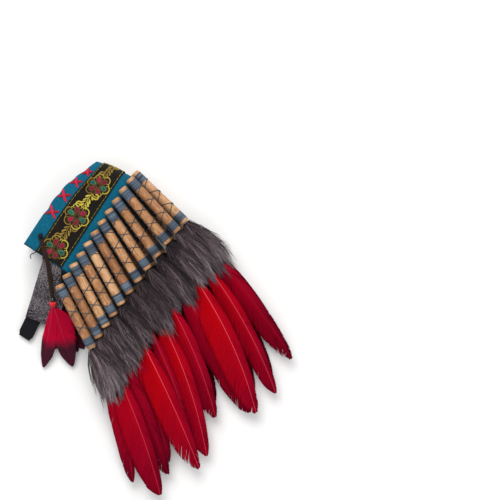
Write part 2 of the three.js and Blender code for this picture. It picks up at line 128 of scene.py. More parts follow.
UPPER_LACE = [
    (-22.5, -49, 53.2), (-16.5, -54, 53.8), (-10.8, -59.2, 53.8), (-5, -64.4, 53.8), (0.6, -69.7, 51.4),
    (8, -78.5, 45.6), (15.5, -87.5, 41.6), (22.8, -97, 38.6), (27.5, -103, 37), (31.5, -108.6, 34.6),
]
UNDER_LACE = [
    (-23, -49, 9.4), (-19.5, -56, 6.4), (-15.5, -63, 3.8), (-10.5, -70, 2.2), (-5, -77, 1.8),
    (0.5, -84.5, 1.8), (6, -91.5, 2.3), (12, -97, 3.4), (18.5, -101, 4.3),
]
KNOT_TAIL = [
    (-21.5, -50.5, 52.3), (-18.5, -57.7, 50.6), (-18.0, -66.7, 50.4), (-20.6, -70.6, 48.8),
    (-22.2, -74.8, 46.0), (-19.7, -77.6, 43.5),
]

# Places that follow from the sizes.
STICK_OUT = STICK_R + WRAP
SHEET_Z = FLOOR_GAP + 2 * STICK_OUT + GAP + FELT / 2
MIDDLE_Z = SHEET_Z + FOLD_R
QUARTER = math.pi / 2 * FOLD_R
BAND_HALF = FRONT_Y - FOLD_R - BAND_END_Y + QUARTER
SEAT = FELT / 2 + GAP + STICK_OUT
OUTER_QUARTER = math.pi / 2 * (FOLD_R + SEAT)
RIBBON_TOP = FELT / 2 + GAP + RIBBON


# Shapes

def smooth(v):
    """Eases from 0 to 1 as v does."""
    v = np.clip(v, 0, 1)
    return v * v * (3 - 2 * v)


def mix(a, b, t):
    """From a to b as t goes from 0 to 1."""
    return a + (b - a) * t


def unit(v):
    """Vectors over their own lengths."""
    return v / np.maximum(np.linalg.norm(v, axis=-1, keepdims=True), 1e-12)


def stick_along(place):
    """Where along the band a stick is sewn on: even steps round the outside of the fold."""
    outer = abs(place) * PITCH
    turned = min(outer, OUTER_QUARTER) * FOLD_R / (FOLD_R + SEAT)
    return math.copysign(turned + max(0.0, outer - OUTER_QUARTER), place)


LAST_STICK = stick_along(STICKS - 0.5)
BACKING_HALF = LAST_STICK + BACKING_PAST


def lean(u):
    """How far the sticks lean, in radians: the rear lean turns to the front lean as a power of the share of
    the way to the fold, with a little more below."""
    share = np.clip(1 - np.abs(u) / LAST_STICK, 0, 1)
    extra = np.where(u < 0, UNDER_LEAN * np.minimum(1, -u / QUARTER), 0)
    return np.radians(mix(REAR_LEAN, FRONT_LEAN, share**LEAN_POWER) + extra)


def band_point(u, x):
    """The band's middle surface: a sheet folded over a half cylinder at the forehead. Past the stick tops it
    follows the lean of the sticks and falls a little, and its brim rolls in near the fold."""
    u, x = np.broadcast_arrays(np.asarray(u, float), np.asarray(x, float))
    turned = np.abs(u) < QUARTER
    angle = np.where(turned, u / FOLD_R, np.sign(u) * math.pi / 2)
    straight = np.where(turned, 0, np.abs(u) - QUARTER)
    y = FRONT_Y - FOLD_R + FOLD_R * np.cos(angle) - straight
    z = MIDDLE_Z + FOLD_R * np.sin(angle)
    past = x - STICK_TOP_X
    beyond = np.maximum(past, 0)
    before = np.minimum(past, 0)
    near = np.exp(-((u / CURL_REACH) ** 2))
    roll = (before / (BRIM_X - STICK_TOP_X)) ** 2
    fall = UPPER_SLOPE * (z - SHEET_Z) / (2 * FOLD_R)
    return np.stack(
        [
            x + near * roll * BRIM_CURL,
            y + near * BRIM_FLARE * before + beyond * np.tan(lean(u)),
            mix(z, MIDDLE_Z, 0.5 * near * roll) - fall * beyond,
        ],
        axis=-1,
    )


def band_normal(u, x):
    """The way out of the band: the cross product of its two directions."""
    h = 0.05
    along = band_point(u + h, x) - band_point(u - h, x)
    across = band_point(u, x + h) - band_point(u, x - h)
    return -unit(np.cross(across, along))


def off_band(u, x, off):
    """Points at a distance from the band's middle surface, along its normal."""
    return band_point(u, x) + band_normal(u, x) * np.asarray(off)[..., None]


def stick_axis(place):
    """A stick's top, its direction, its lower end and the way out of the band there."""
    u = stick_along(place)
    normal = band_normal(u, STICK_TOP_X + 1)
    along = unit(band_point(u, STICK_TOP_X + 2) - band_point(u, STICK_TOP_X + 1))
    top = band_point(u, STICK_TOP_X) + normal * SEAT
    return top, along, top + along * STICK_LENGTH, normal


def shown(points):
    """Millimetres in the making frame to metres in the model's frame."""
    return (np.asarray(points, float) + ORIGIN) * MM


def mesh_object(name, verts, faces, material, attrs):
    """A mesh object from arrays: verts in millimetres, faces a list of index arrays with 3 or 4 columns, and
    attrs a dict of one number for each vertex."""
    verts = shown(verts)
    mesh = bpy.data.meshes.new(name)
    mesh.vertices.add(len(verts))
    mesh.vertices.foreach_set("co", verts.ravel())
    loops = np.concatenate([f.ravel() for f in faces]).astype(np.int32)
    sizes = np.concatenate([np.full(len(f), f.shape[1]) for f in faces]).astype(np.int32)
    mesh.loops.add(len(loops))
    mesh.loops.foreach_set("vertex_index", loops)
    mesh.polygons.add(len(sizes))
    mesh.polygons.foreach_set("loop_start", (np.cumsum(sizes) - sizes).astype(np.int32))
    mesh.polygons.foreach_set("use_smooth", np.full(len(sizes), True))
    mesh.update(calc_edges=True)
    mesh.validate()
    for key, values in attrs.items():
        layer = mesh.attributes.new(key, "FLOAT", "POINT")
        layer.data.foreach_set("value", np.asarray(values, np.float32))
    mesh.materials.append(material)
    obj = bpy.data.objects.new(name, mesh)
    bpy.context.scene.collection.objects.link(obj)
    return obj


def join(parts):
    """Several (verts, faces, attrs) as one. An attribute is one number for each vertex, or one for all."""
    verts, faces, attrs, count = [], [], {}, 0
    for v, fs, a in parts:
        verts.append(v)
        faces += [f + count for f in fs]
        for key, values in a.items():
            attrs.setdefault(key, []).append(np.broadcast_to(values, (len(v),)))
        count += len(v)
    return np.concatenate(verts), faces, {k: np.concatenate(v) for k, v in attrs.items()}


def piece(name, parts, material, slot, *nodes):
    """The parts as one object that rides on the one body, with the material given, and stands for the nodes,
    which it hides. slot is not used."""
    verts, faces, attrs = join(parts)
    obj = mesh_object(name, verts, faces, material, attrs)
    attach(obj, "root")
    if nodes:
        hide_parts(*nodes)
    return obj


def grid_faces(rows, columns, wrap=False):
    """Quads of a grid of rows by columns, closed round its columns if wrap."""
    i = np.arange(rows - 1)[:, None]
    j = np.arange(columns if wrap else columns - 1)[None, :]
    k = (j + 1) % columns
    return np.stack(
        [i * columns + j, i * columns + k, (i + 1) * columns + k, (i + 1) * columns + j], axis=-1
    ).reshape(-1, 4)


def end_fans(rings, sides):
    """Triangles that close the first and the last of some rings, each fanned from its first point."""
    fan = np.stack([np.zeros(sides - 2), np.arange(1, sides - 1), np.arange(2, sides)], -1).astype(int)
    return np.concatenate([fan[:, ::-1], fan + (rings - 1) * sides])


def outward(verts, faces):
    """The faces turned round if the closed shape would have a volume below zero."""
    volume = 0.0
    for f in faces:
        p = verts[f]
        for k in range(1, f.shape[1] - 1):
            volume += np.einsum("ij,ij->i", p[:, 0], np.cross(p[:, k], p[:, k + 1])).sum()
    return [f[:, ::-1] for f in faces] if volume < 0 else faces


def slab(outer, inner):
    """A closed sheet from two grids of points of shape (rows, columns, 3), joined round their edge."""
    rows, columns = outer.shape[:2]
    verts = np.concatenate([outer.reshape(-1, 3), inner.reshape(-1, 3)])
    top = grid_faces(rows, columns)
    n = rows * columns
    ids = np.arange(n).reshape(rows, columns)
    rim = np.concatenate([ids[0, :-1], ids[:-1, -1], ids[-1, :0:-1], ids[:0:-1, 0]])
    ahead = np.roll(rim, -1)
    edge = np.stack([ahead, rim, rim + n, ahead + n], axis=-1)
    return verts, outward(verts, [np.concatenate([top, top[:, ::-1] + n, edge])])


def sheet_area(grid):
    """The area of a grid of points in square metres: the sum of its parallelograms."""
    down, over = np.diff(grid, axis=0)[:, :-1], np.diff(grid, axis=1)[:-1]
    return np.linalg.norm(np.cross(down, over), axis=-1).sum() * MM * MM


def tubes(centre, across, normal, rx, ry, sides, flat=0.0):
    """Closed tubes along many paths at once. centre has the shape (paths, steps, 3). Each section is a ring
    of points at across * cos * rx + normal * sin * ry. Returns the vertices, the faces, and for each vertex
    its path and its share along the path."""
    n, m = centre.shape[:2]
    angle = 2 * np.pi * (np.arange(sides) + flat) / sides
    rx = np.broadcast_to(rx, (n, m))[:, :, None, None]
    ry = np.broadcast_to(ry, (n, m))[:, :, None, None]
    ring = (
        across[:, :, None, :] * np.cos(angle)[None, None, :, None] * rx
        + normal[:, :, None, :] * np.sin(angle)[None, None, :, None] * ry
    )
    verts = (centre[:, :, None, :] + ring).reshape(-1, 3)
    base = (np.arange(n) * m * sides)[:, None, None]
    quads = (grid_faces(m, sides, wrap=True)[None] + base).reshape(-1, 4)
    tris = (end_fans(m, sides)[None] + base).reshape(-1, 3)
    handed = np.einsum("ij,ij->i", np.cross(across[:, 0], normal[:, 0]), centre[:, 1] - centre[:, 0])
    if handed.sum() < 0:
        quads, tris = quads[:, ::-1], tris[:, ::-1]
    path = np.repeat(np.arange(n), m * sides)
    share = np.tile(np.repeat(np.linspace(0, 1, m), sides), n)
    return verts, [quads, tris], path, share


def frames_along(path, up):
    """Across and up directions along paths of shape (paths, steps, 3), square to each path."""
    tangent = unit(np.gradient(path, axis=1))
    across = unit(np.cross(np.broadcast_to(up, path.shape), tangent))
    return across, np.cross(tangent, across)


def thread(centre, up, half, height, sides, run, **attrs):
    """One thread along a path, as a closed tube. run is the length that its material counts along it."""
    verts, faces, _, along = tubes(centre[None], *frames_along(centre[None], up), half, height, sides)
    return verts, faces, {"run": along * run, **attrs}


def catmull(points, steps):
    """A smooth path through the points, evenly spaced: a Catmull-Rom curve, with its end steps mirrored."""
    p = np.asarray(points, float)
    p = np.concatenate([[2 * p[0] - p[1]], p, [2 * p[-1] - p[-2]]])
    t = np.linspace(0, 1, 24, endpoint=False)[:, None]
    out = []
    for a, b, c, d in zip(p[:-3], p[1:-2], p[2:-1], p[3:]):
        square, cube = 2 * a - 5 * b + 4 * c - d, 3 * b - a - 3 * c + d
        out.append(0.5 * (2 * b + (c - a) * t + square * t**2 + cube * t**3))
    out = np.concatenate(out + [p[-2:-1]])
    run = np.concatenate([[0], np.cumsum(np.linalg.norm(np.diff(out, axis=0), axis=1))])
    at = np.linspace(0, run[-1], steps)
    return np.stack([np.interp(at, run, out[:, k]) for k in range(3)], axis=-1)


def round_axis(along, normal, angle):
    """Unit directions round an axis, turned by the angles from the normal."""
    return np.cos(angle)[:, None] * normal + np.sin(angle)[:, None] * np.cross(along, normal)


def lathe_rings(top, along, normal, at, radius, sides):
    """Rings round an axis at the lengths at, with the radii given, and the angles of their points."""
    angle = np.linspace(0, 2 * np.pi, sides, endpoint=False)
    centre = top + along * np.asarray(at)[:, None]
    ring = round_axis(along, normal, angle)[None]
    return centre[:, None, :] + ring * np.asarray(radius)[:, None, None], angle


def closed_lathe(rings, first, last):
    """Rings closed at both ends by a point."""
    m, n = rings.shape[:2]
    verts = np.concatenate([rings.reshape(-1, 3), [first], [last]])
    j = np.arange(n)
    k = (j + 1) % n
    start = np.stack([k, j, np.full(n, m * n)], -1)
    end = np.stack([(m - 1) * n + j, (m - 1) * n + k, np.full(n, m * n + 1)], -1)
    return verts, outward(verts, [grid_faces(m, n, wrap=True), start, end])


def with_ends(values, first, last):
    """The values of a closed lathe's rings, then those of its two end points."""
    return np.concatenate([values, [first, last]])


# Materials. A Mix node has a set of sockets for each kind of data, and these are the ones for colours.
MIX_FACTOR, MIX_A, MIX_B, MIX_RESULT = 0, 6, 7, 2


def tint(colour):
    """A colour code of the screen to linear light, or three linear values as they are, with an alpha of 1."""
    if isinstance(colour, str):
        parts = [int(colour[i : i + 2], 16) / 255 for i in (1, 3, 5)]
        colour = [((v + 0.055) / 1.055) ** 2.4 if v > 0.04045 else v / 12.92 for v in parts]
    return (*colour, 1.0)


class Tree:
    """Short ways to lay nodes in a node tree."""

    def __init__(self, tree):
        self.tree = tree

    def feed(self, socket, value):
        """A link if the value comes from another node, or else the value itself."""
        if isinstance(value, bpy.types.NodeSocket):
            self.tree.links.new(value, socket)
        elif socket.type == "RGBA":
            socket.default_value = tint(value)
        else:
            socket.default_value = value

    def put(self, node, key, value):
        """A value for a node's input or, where it has none of that name, for its setting."""
        name = key.replace("_", " ")
        if name in node.inputs:
            self.feed(node.inputs[name], value)
        else:
            setattr(node, key, value)

    def add(self, kind, **values):
        """A new node with its values."""
        node = self.tree.nodes.new("ShaderNode" + kind)
        for key, value in values.items():
            self.put(node, key, value)
        return node

    def attribute(self, name):
        """A number that the mesh holds for each of its vertices."""
        return self.add("Attribute", attribute_name=name).outputs["Fac"]

    def math(self, operation, *values, clamp=False):
        """One step of arithmetic."""
        node = self.add("Math", operation=operation, use_clamp=clamp)
        for socket, value in zip(node.inputs, values):
            self.feed(socket, value)
        return node.outputs["Value"]

    def weighted(self, *pairs):
        """The sum of some values, each times its weight."""
        total = self.math("MULTIPLY", *pairs[0])
        for pair in pairs[1:]:
            total = self.math("ADD", total, self.math("MULTIPLY", *pair))
        return total

    def ramp(self, fac, *stops):
        """A colour that changes with fac through the stops, each a place and a colour."""
        node = self.add("ValToRGB", Fac=fac)
        ramp = node.color_ramp
        while len(ramp.elements) < len(stops):
            ramp.elements.new(0.5)
        for element, (at, colour) in zip(ramp.elements, stops):
            element.position = at
            element.color = tint(colour)
        return node.outputs["Color"]

    def blend(self, fac, a, b):
        """The colour a, or b as fac nears 1."""
        node = self.add("Mix", data_type="RGBA")
        for index, value in ((MIX_FACTOR, fac), (MIX_A, a), (MIX_B, b)):
            self.feed(node.inputs[index], value)
        return node.outputs[MIX_RESULT]

    def bump(self, height, strength, distance):
        """A normal tilted by a height, over a distance in metres."""
        return self.add("Bump", Height=height, Strength=strength, Distance=distance).outputs["Normal"]

    def fibres(self, scale, detail, stretch=(1, 1, 1), distort=0.0):
        """The shared noise of fibres and blotches, with this material's own values."""
        return self.add(
            "Group", node_tree=FIBRES, Scale=scale, Detail=detail, Stretch=stretch, Distortion=distort
        ).outputs["Height"]

    def ribs(self, across, pitch):
        """The shared ribs, one for each pitch of the value across."""
        return self.add("Group", node_tree=RIBS, Across=across, Rate=2 * math.pi / pitch).outputs["Height"]


class Finish(Tree):
    """A material laid node by node."""

    def __init__(self, name, rough):
        self.material = bpy.data.materials.new(name)
        self.material.use_nodes = True
        super().__init__(self.material.node_tree)
        self.shader = self.tree.nodes["Principled BSDF"]
        self.shader.inputs["Roughness"].default_value = rough

    def done(self, colour, normal=None, **values):
        """The material, with its colour, its normal and the shader's other values in place."""
        self.put(self.shader, "Base Color", colour)
        if normal is not None:
            self.put(self.shader, "Normal", normal)
        for key, value in values.items():
            self.put(self.shader, key, value)
        return self.material


def shared_effect(name, lay, **inputs):
    """A shader node group with named inputs and one output, Height, that lay works out from the inputs."""
    tree = bpy.data.node_groups.new(name, "ShaderNodeTree")
    for key, kind in inputs.items():
        tree.interface.new_socket(key, in_out="INPUT", socket_type="NodeSocket" + kind)
    tree.interface.new_socket("Height", in_out="OUTPUT", socket_type="NodeSocketFloat")
    given = tree.nodes.new("NodeGroupInput").outputs
    result = tree.nodes.new("NodeGroupOutput").inputs
    tree.links.new(lay(Tree(tree), given), result["Height"])
    return tree


def lay_fibres(t, given):
    """Noise in the piece's own coordinates, stretched along its axes."""
    where = t.add("Mapping", Vector=t.add("TexCoord").outputs["Object"], Scale=given["Stretch"])
    noise = t.add("TexNoise", Vector=where.outputs["Vector"])
    for key in ("Scale", "Detail", "Distortion"):
        t.put(noise, key, given[key])
    return noise.outputs["Fac"]


def lay_ribs(t, given):
    """The sine of the place across the ribs times their rate."""
    return t.math("SINE", t.math("MULTIPLY", given["Across"], given["Rate"]))


FIBRES = shared_effect(
    "fibres", lay_fibres, Scale="Float", Detail="Float", Stretch="Vector", Distortion="Float"
)
RIBS = shared_effect("ribs", lay_ribs, Across="Float", Rate="Float")

# How wide one ridge is, in millimetres along the run of a thread, a yarn, the ribbon or the elastic.
THREAD_RIDGE, YARN_RIDGE = 1 / 1.3, 1 / 0.6
RIBBON_WARP, RIBBON_WEFT = 0.9, 0.7
ELASTIC_RIB, ELASTIC_PICK = 1.35, 0.8


def felt_material(name, dark, mid, light, scale, spread, painted_shade=None):
    """Wool felt: soft blotches, short fibres that run all ways, and a fuzzy sheen. Given a shade colour, it
    turns to that colour as painted shade behind the sticks, where the attribute cross is past their tops, and
    also towards its two ends."""
    m = Finish(name, 0.95)
    blotch = m.fibres(38, 3)
    short = m.fibres(scale * 1.35, 4, (1, 1.3, 1), 0.1)
    hairs = m.math("ADD", short, m.fibres(scale, 4, (1.4, 0.9, 1), 0.15))
    colour = m.ramp(
        m.weighted((blotch, 0.16), (hairs, 0.42)), (0.5 - spread, dark), (0.5, mid), (0.5 + spread, light)
    )
    if painted_shade:
        # Painted shade: the felt darkens to the given colour past the stick tops, behind the sticks, and
        # towards its two ends.
        past = m.add(
            "MapRange", Value=m.attribute("cross"), From_Min=STICK_TOP_X - 1, From_Max=STICK_TOP_X + 9
        ).outputs["Result"]
        rear = m.math("SUBTRACT", m.math("ABSOLUTE", m.attribute("run")), BAND_HALF - 2)
        behind = m.math("MAXIMUM", past, m.math("MULTIPLY", rear, 0.3), clamp=True)
        colour = m.blend(behind, colour, painted_shade)
    normal = m.bump(hairs, 0.55, 0.0006)
    return m.done(colour, normal, Specular_IOR_Level=0.1, Sheen_Weight=0.03, Sheen_Roughness=0.6)


def thread_material(name, colours, rough, metallic=0.0, ridge=THREAD_RIDGE, limb=0.0, groove_shade=0.18, rim=None):
    """Thread laid side by side: fine ridges across its run, and a shade for each thread. The grooves between
    the ridges are darker, as painted shade, and so are its sides if limb is given, also as painted shade. With
    a rim colour its edge turns to that."""
    m = Finish(name, rough)
    ridges = m.ribs(m.attribute("run"), ridge)
    shade = m.weighted((m.attribute("tone"), 0.75), (m.fibres(700, 3), 0.25))
    stops = [(k / (len(colours) - 1), c) for k, c in enumerate(colours)]
    # Painted shade: the grooves between the ridges darken towards the darkest colour.
    colour = m.blend(m.math("MULTIPLY", ridges, -groove_shade, clamp=True), m.ramp(shade, *stops), colours[0])
    if rim:
        colour = m.blend(m.math("MULTIPLY", m.attribute("edge"), 0.75), colour, rim)
    # Painted shade: the sides of the thread darken as well.
    if limb:
        colour = m.blend(m.math("MULTIPLY", m.attribute("limb"), limb), colour, colours[0])
    return m.done(colour, m.bump(ridges, 0.5, 0.0003), Metallic=metallic, Specular_IOR_Level=0.25)


def ribbon_material():
    """Black woven ribbon: fine ribs along it and across it, a little browner on the crests of its weave."""
    m = Finish("ribbon_weave", 0.72)
    along = m.ribs(m.attribute("run"), RIBBON_WARP)
    weave = m.math("MULTIPLY", along, m.ribs(m.attribute("cross"), RIBBON_WEFT))
    colour = m.ramp(m.fibres(60, 4), (0.3, "#0b0a09"), (0.62, "#171310"), (0.8, "#241c17"))
    fleck = m.math("MULTIPLY", m.math("MAXIMUM", weave, 0.0), 0.25)
    return m.done(m.blend(fleck, colour, "#352c25"), m.bump(weave, 0.6, 0.0004), Specular_IOR_Level=0.2)


def wood_material():
    """Light wood: long grain, a few darker streaks, rosy patches, painted shade on its sides and paler cut
    ends.
    """
    m = Finish("stick_wood", 0.55)
    tone = m.attribute("tone")
    along = m.math("MULTIPLY", m.attribute("run"), 0.035)
    round_it = m.math("MULTIPLY", m.attribute("round"), 3.2)
    where = m.add("CombineXYZ", X=along, Y=round_it, Z=m.math("MULTIPLY", tone, 31.0)).outputs["Vector"]

    def figure(scale, detail, distort):
        """Noise drawn out along the stick."""
        return m.add("TexNoise", Vector=where, Scale=scale, Detail=detail, Distortion=distort).outputs["Fac"]

    grain, fine, patch = figure(3.4, 6.0, 0.6), figure(15.0, 4.0, 0.0), figure(1.1, 3.0, 1.0)
    fac = m.weighted((grain, 0.6), (m.math("ADD", fine, tone), 0.2))
    colour = m.ramp(fac, (0.38, "#7f4f2b"), (0.5, "#b58252"), (0.61, "#d9ab7e"))
    rosy = m.math("MULTIPLY", m.math("SUBTRACT", patch, 0.42), 3.0, clamp=True)
    colour = m.blend(m.math("MULTIPLY", rosy, 0.5), colour, "#a86a4c")
    # Painted shade: the stick darkens to a dark brown towards its sides.
    colour = m.blend(m.math("MULTIPLY", m.attribute("limb"), 0.55), colour, "#5b3417")
    return m.done(m.blend(m.attribute("end"), colour, "#c49566"), m.bump(fine, 0.25, 0.0004))


def fur_material():
    """Dark grey fur: lighter guard hairs, a slight gloss, and darker towards the roots, partly its own
    purplish brown and partly painted shade near the sticks. Where depth is high it darkens further, as painted
    shade.
    """
    m = Finish("fur", 0.62)
    hair = m.math("POWER", m.attribute("rand"), 1.4)
    fac = m.weighted(
        (hair, 0.34), (m.attribute("tone"), 0.4), (m.attribute("along"), 0.1), (m.attribute("share"), 0.27)
    )
    colour = m.ramp(fac, (0.1, "#110c0e"), (0.4, "#352a2e"), (0.68, "#6d5d63"), (0.95, "#a4979c"))
    # Painted shade: the valleys between tufts and all of the lower side's fur darken towards near black.
    dark = m.math("MULTIPLY", m.attribute("depth"), 0.7)
    return m.done(m.blend(dark, colour, "#1a1416"), Specular_IOR_Level=0.25)


def feather_material(name, bright, mid, deep, quill, tip=None):
    """Dyed feather: each barb has its own shade, groups of barbs differ a little, and the tip is deeper. With
    a tip colour its end turns to that. The quill, where along is below zero, has its own colour."""
    m = Finish(name, 0.6)
    share, along, depth = m.attribute("share"), m.attribute("along"), m.attribute("depth")
    outer = m.math("MAXIMUM", along, 0.0)
    late = m.math("MAXIMUM", m.math("SUBTRACT", share, 0.45), 0.0)
    fac = m.weighted(
        (m.attribute("rand"), 0.07), (m.attribute("tone"), 0.1), (depth, 0.6), (outer, 0.1), (late, 0.75)
    )
    colour = m.ramp(fac, (0.05, bright), (0.5, mid), (0.95, deep))
    quill_colour = m.blend(m.math("MULTIPLY", depth, 1.7, clamp=True), quill, mid)
    if tip:
        reached = m.math("ADD", share, m.math("MULTIPLY", along, 0.2))
        fade = m.add("MapRange", Value=reached, From_Min=0.56, From_Max=0.74).outputs["Result"]
        colour = m.blend(fade, colour, tip)
        late_quill = m.math("MULTIPLY", m.math("GREATER_THAN", share, 0.6), 0.8)
        quill_colour = m.blend(late_quill, quill_colour, tip)
    is_quill = m.math("LESS_THAN", along, -0.5)
    return m.done(m.blend(is_quill, colour, quill_colour), Specular_IOR_Level=0.04)


def lace_material():
    """Soft brown suede: a short nap and paler wear."""
    m = Finish("suede", 0.9)
    nap = m.fibres(900, 4)
    colour = m.ramp(nap, (0.3, "#1b100d"), (0.6, "#2f1e19"), (0.8, "#4a342c"))
    return m.done(colour, m.bump(nap, 0.5, 0.0003), Specular_IOR_Level=0.2, Sheen_Weight=0.05)


def bead_material():
    """A dark polished bead with faint streaks."""
    m = Finish("bead", 0.16)
    streak = m.fibres(300, 4, (1, 3, 1))
    colour = m.ramp(streak, (0.35, "#060606"), (0.7, "#161714"))
    return m.done(colour, m.bump(streak, 0.06, 0.0002), Coat_Weight=0.6)


def elastic_material():
    """Ribbed black elastic: cords along it with a fine weave over them. Its colour follows their height as
    painted shade, darker in the grooves and lighter on the crests.
    """
    m = Finish("elastic", 0.8)
    rib, pick = m.ribs(m.attribute("cross"), ELASTIC_RIB), m.ribs(m.attribute("run"), ELASTIC_PICK)
    height = m.weighted((rib, 0.7), (pick, 0.3))
    # Painted shade: the colour follows the height of the ribs.
    shade = m.math("MULTIPLY_ADD", height, 0.5, 0.5, clamp=True)
    colour = m.ramp(shade, (0.1, "#07070b"), (0.9, "#1b1c24"))
    return m.done(colour, m.bump(height, 0.7, 0.0004), Specular_IOR_Level=0.2)


def table_material():
    """A pale table, a little uneven in its white."""
    m = Finish("pale_floor", 0.85)
    return m.done(m.ramp(m.fibres(6, 2), (0.2, (0.93, 0.93, 0.93)), (0.8, (0.96, 0.96, 0.96))))


# The teal felt darkens to a near black as painted shade behind the sticks.
teal = felt_material("teal_felt", "#06455c", "#0a5b76", "#166f8b", 620, 0.14, painted_shade="#0d161b")
heather = felt_material("heather_felt", "#100e11", "#3b353b", "#928b8f", 640, 0.085)
ribbon_cloth = ribbon_material()
wood = wood_material()
fur = fur_material()
red_feather = feather_material("red_feather", "#c2000c", "#a00022", "#5c001a", "#e84c58")
side_feather = feather_material("side_feather", "#de0a38", "#be0a38", "#7a0c2a", "#bc2a4e", tip="#4e2030")
gold = thread_material("gold_thread", ("#3c2c18", "#a08236", "#f6e656"), 0.45, metallic=0.1, groove_shade=0.6)
green = thread_material("green_thread", ("#08362a", "#105642", "#1c7454"), 0.5, groove_shade=0.3, rim="#84c8a6")
rose = thread_material("rose_thread", ("#4c0a0e", "#860e20", "#b01c42"), 0.5, groove_shade=0.3, rim="#d05a76")
wrap_thread = thread_material("wrapping_thread", ("#2a303a", "#556374", "#7f8fa2"), 0.6, limb=0.75)
cross_thread = thread_material("crossed_thread", ("#33363a", "#4d5053", "#6a6a68"), 0.7)
red_yarn = thread_material("red_yarn", ("#860e28", "#c01734", "#e02c50"), 0.75, ridge=YARN_RIDGE)
tie_thread = thread_material("tie_thread", ("#b41226", "#e42a38", "#ff5058"), 0.7, ridge=YARN_RIDGE)
black_thread = thread_material("black_thread", ("#050506", "#0c0c0e", "#1c1c20"), 0.6)
suede = lace_material()
bead_gloss = bead_material()
elastic = elastic_material()


# Camera and light. The photo looks straight down, with the band's brim to its upper left. SHOWN_WIDTH is how
# much of the table it shows at the height SEEN_Z, and FLOOR_HALF half the side of the table, in metres.
ROLL = math.radians(33.0)
LENS_X, LENS_Y, LENS_HEIGHT = 0.0561, 0.1596, 2.2
SEEN_Z, SHOWN_WIDTH, FILM = 0.035, 0.625, 36.0
FLOOR_HALF, SKY = 3, 0.6
camera_data = bpy.data.cameras.new("camera")
camera_data.lens = FILM * (LENS_HEIGHT - SEEN_Z) / SHOWN_WIDTH
camera = bpy.data.objects.new("camera", camera_data)
camera.location = (LENS_X, LENS_Y, LENS_HEIGHT)
camera.rotation_euler = (0.0, 0.0, ROLL)
bpy.context.scene.collection.objects.link(camera)
bpy.context.scene.camera = camera


def area_light(name, place, size, power, colour):
    """A round lamp that faces the middle of the table."""
    data = bpy.data.lights.new(name, "AREA")
    data.shape = "DISK"
    data.size = size
    data.energy = power
    data.color = colour
    light = bpy.data.objects.new(name, data)
    light.location = place
    aim = bpy.data.objects.new(name + "_aim", None)
    bpy.context.scene.collection.objects.link(aim)
    bpy.context.scene.collection.objects.link(light)
    track = light.constraints.new("TRACK_TO")
    track.target = aim
    track.track_axis, track.up_axis = "TRACK_NEGATIVE_Z", "UP_Y"


area_light("key_light", (-0.9, 0.9, 1.7), 1.4, 30, (1.0, 0.99, 0.97))
area_light("fill_light", (1.2, -0.4, 1.6), 1.6, 6, (0.97, 0.98, 1.0))
world = bpy.data.worlds.new("studio")
world.use_nodes = True
world.node_tree.nodes["Background"].inputs["Color"].default_value = (1, 1, 1, 1)
world.node_tree.nodes["Background"].inputs["Strength"].default_value = SKY
bpy.context.scene.world = world
bpy.context.scene.view_settings.view_transform = "Standard"

floor_mesh = bpy.data.meshes.new("floor")
corners = [(-FLOOR_HALF, -FLOOR_HALF, 0), (FLOOR_HALF, -FLOOR_HALF, 0), (FLOOR_HALF, FLOOR_HALF, 0),
           (-FLOOR_HALF, FLOOR_HALF, 0)]
floor_mesh.from_pydata(corners, [], [(0, 1, 2, 3)])
floor_mesh.materials.append(table_material())
floor = bpy.data.objects.new("floor", floor_mesh)
bpy.context.scene.collection.objects.link(floor)


# Felt band and ribbon

# The crossed stitches of one side: how far along the band they are, and half their size.
LACING = ((29.2, 7.4), (49.7, 7.8), (73.2, 8.2), (98.9, 8.2))
STITCH_REACH, STITCH_PULL, STITCH_X = 5.5, 1.5, -24.0
EVEN_ROWS, FELT_WAVES = 0.45, 0.06
RIBBON_SHORT = 1


def band_slab(name, columns, rows, end_of, low, high, material, slot, node, waves=0.0, drawn=()):
    """A sheet on the band from the offset low to the offset high, and its area. Its rows are closer together
    near the fold, as a cubic. end_of(x) is its half length at x. waves is the height of its ripple, a sum
    of two crossing sines. The stitches at the places drawn pull its brim in a little."""
    t = np.linspace(-1, 1, rows)[:, None]
    x = np.asarray(columns, float)[None, :]
    u = (EVEN_ROWS * t + (1 - EVEN_ROWS) * t**3) * end_of(x)
    x = np.broadcast_to(x, u.shape)
    for place in drawn:
        near = np.exp(-(((np.abs(u) - place) / STITCH_REACH) ** 2))
        x = x + STITCH_PULL * near * smooth((STITCH_X - x) / (STITCH_X - BRIM_X))
    ripple = waves * (np.sin(u / 19 + x / 23) + 0.6 * np.sin(u / 7.7 - x / 11))
    verts, faces = slab(off_band(u, x, high + ripple), off_band(u, x, low + ripple))
    attrs = {"run": np.tile(u.ravel(), 2), "cross": np.tile(x.ravel(), 2)}
    obj = piece(name, [(verts, faces, attrs)], material, slot, node)
    return obj, sheet_area(off_band(u, x, (low + high) / 2 + 0 * u))


def edged(low, high, rim, next_to, count):
    """Columns of a sheet: both edges, one close to each, and evenly spaced ones between next_to."""
    return np.concatenate([[low, low + rim], np.linspace(*next_to, count), [high - rim, high]])


felt, felt_area = band_slab(
    "felt_band_cloth", edged(BRIM_X, FELT_TOP_X, 0.6, (BRIM_X + 3, 78), 44), 170,
    lambda x: np.interp(x, (RIBBON_HALF, STICK_TOP_X + 6), (BAND_HALF, BACKING_HALF)),
    -FELT / 2, FELT / 2, teal, "felt", "felt_band", waves=FELT_WAVES, drawn=[place for place, _ in LACING],
)

ribbon, ribbon_area = band_slab(
    "ribbon_cloth", edged(-RIBBON_HALF, RIBBON_HALF, 0.4, (-18, 18), 22), 220,
    lambda x: BAND_HALF - RIBBON_SHORT + 0 * x,
    FELT / 2 + GAP, RIBBON_TOP, ribbon_cloth, "ribbon", "braid_ribbon",
)


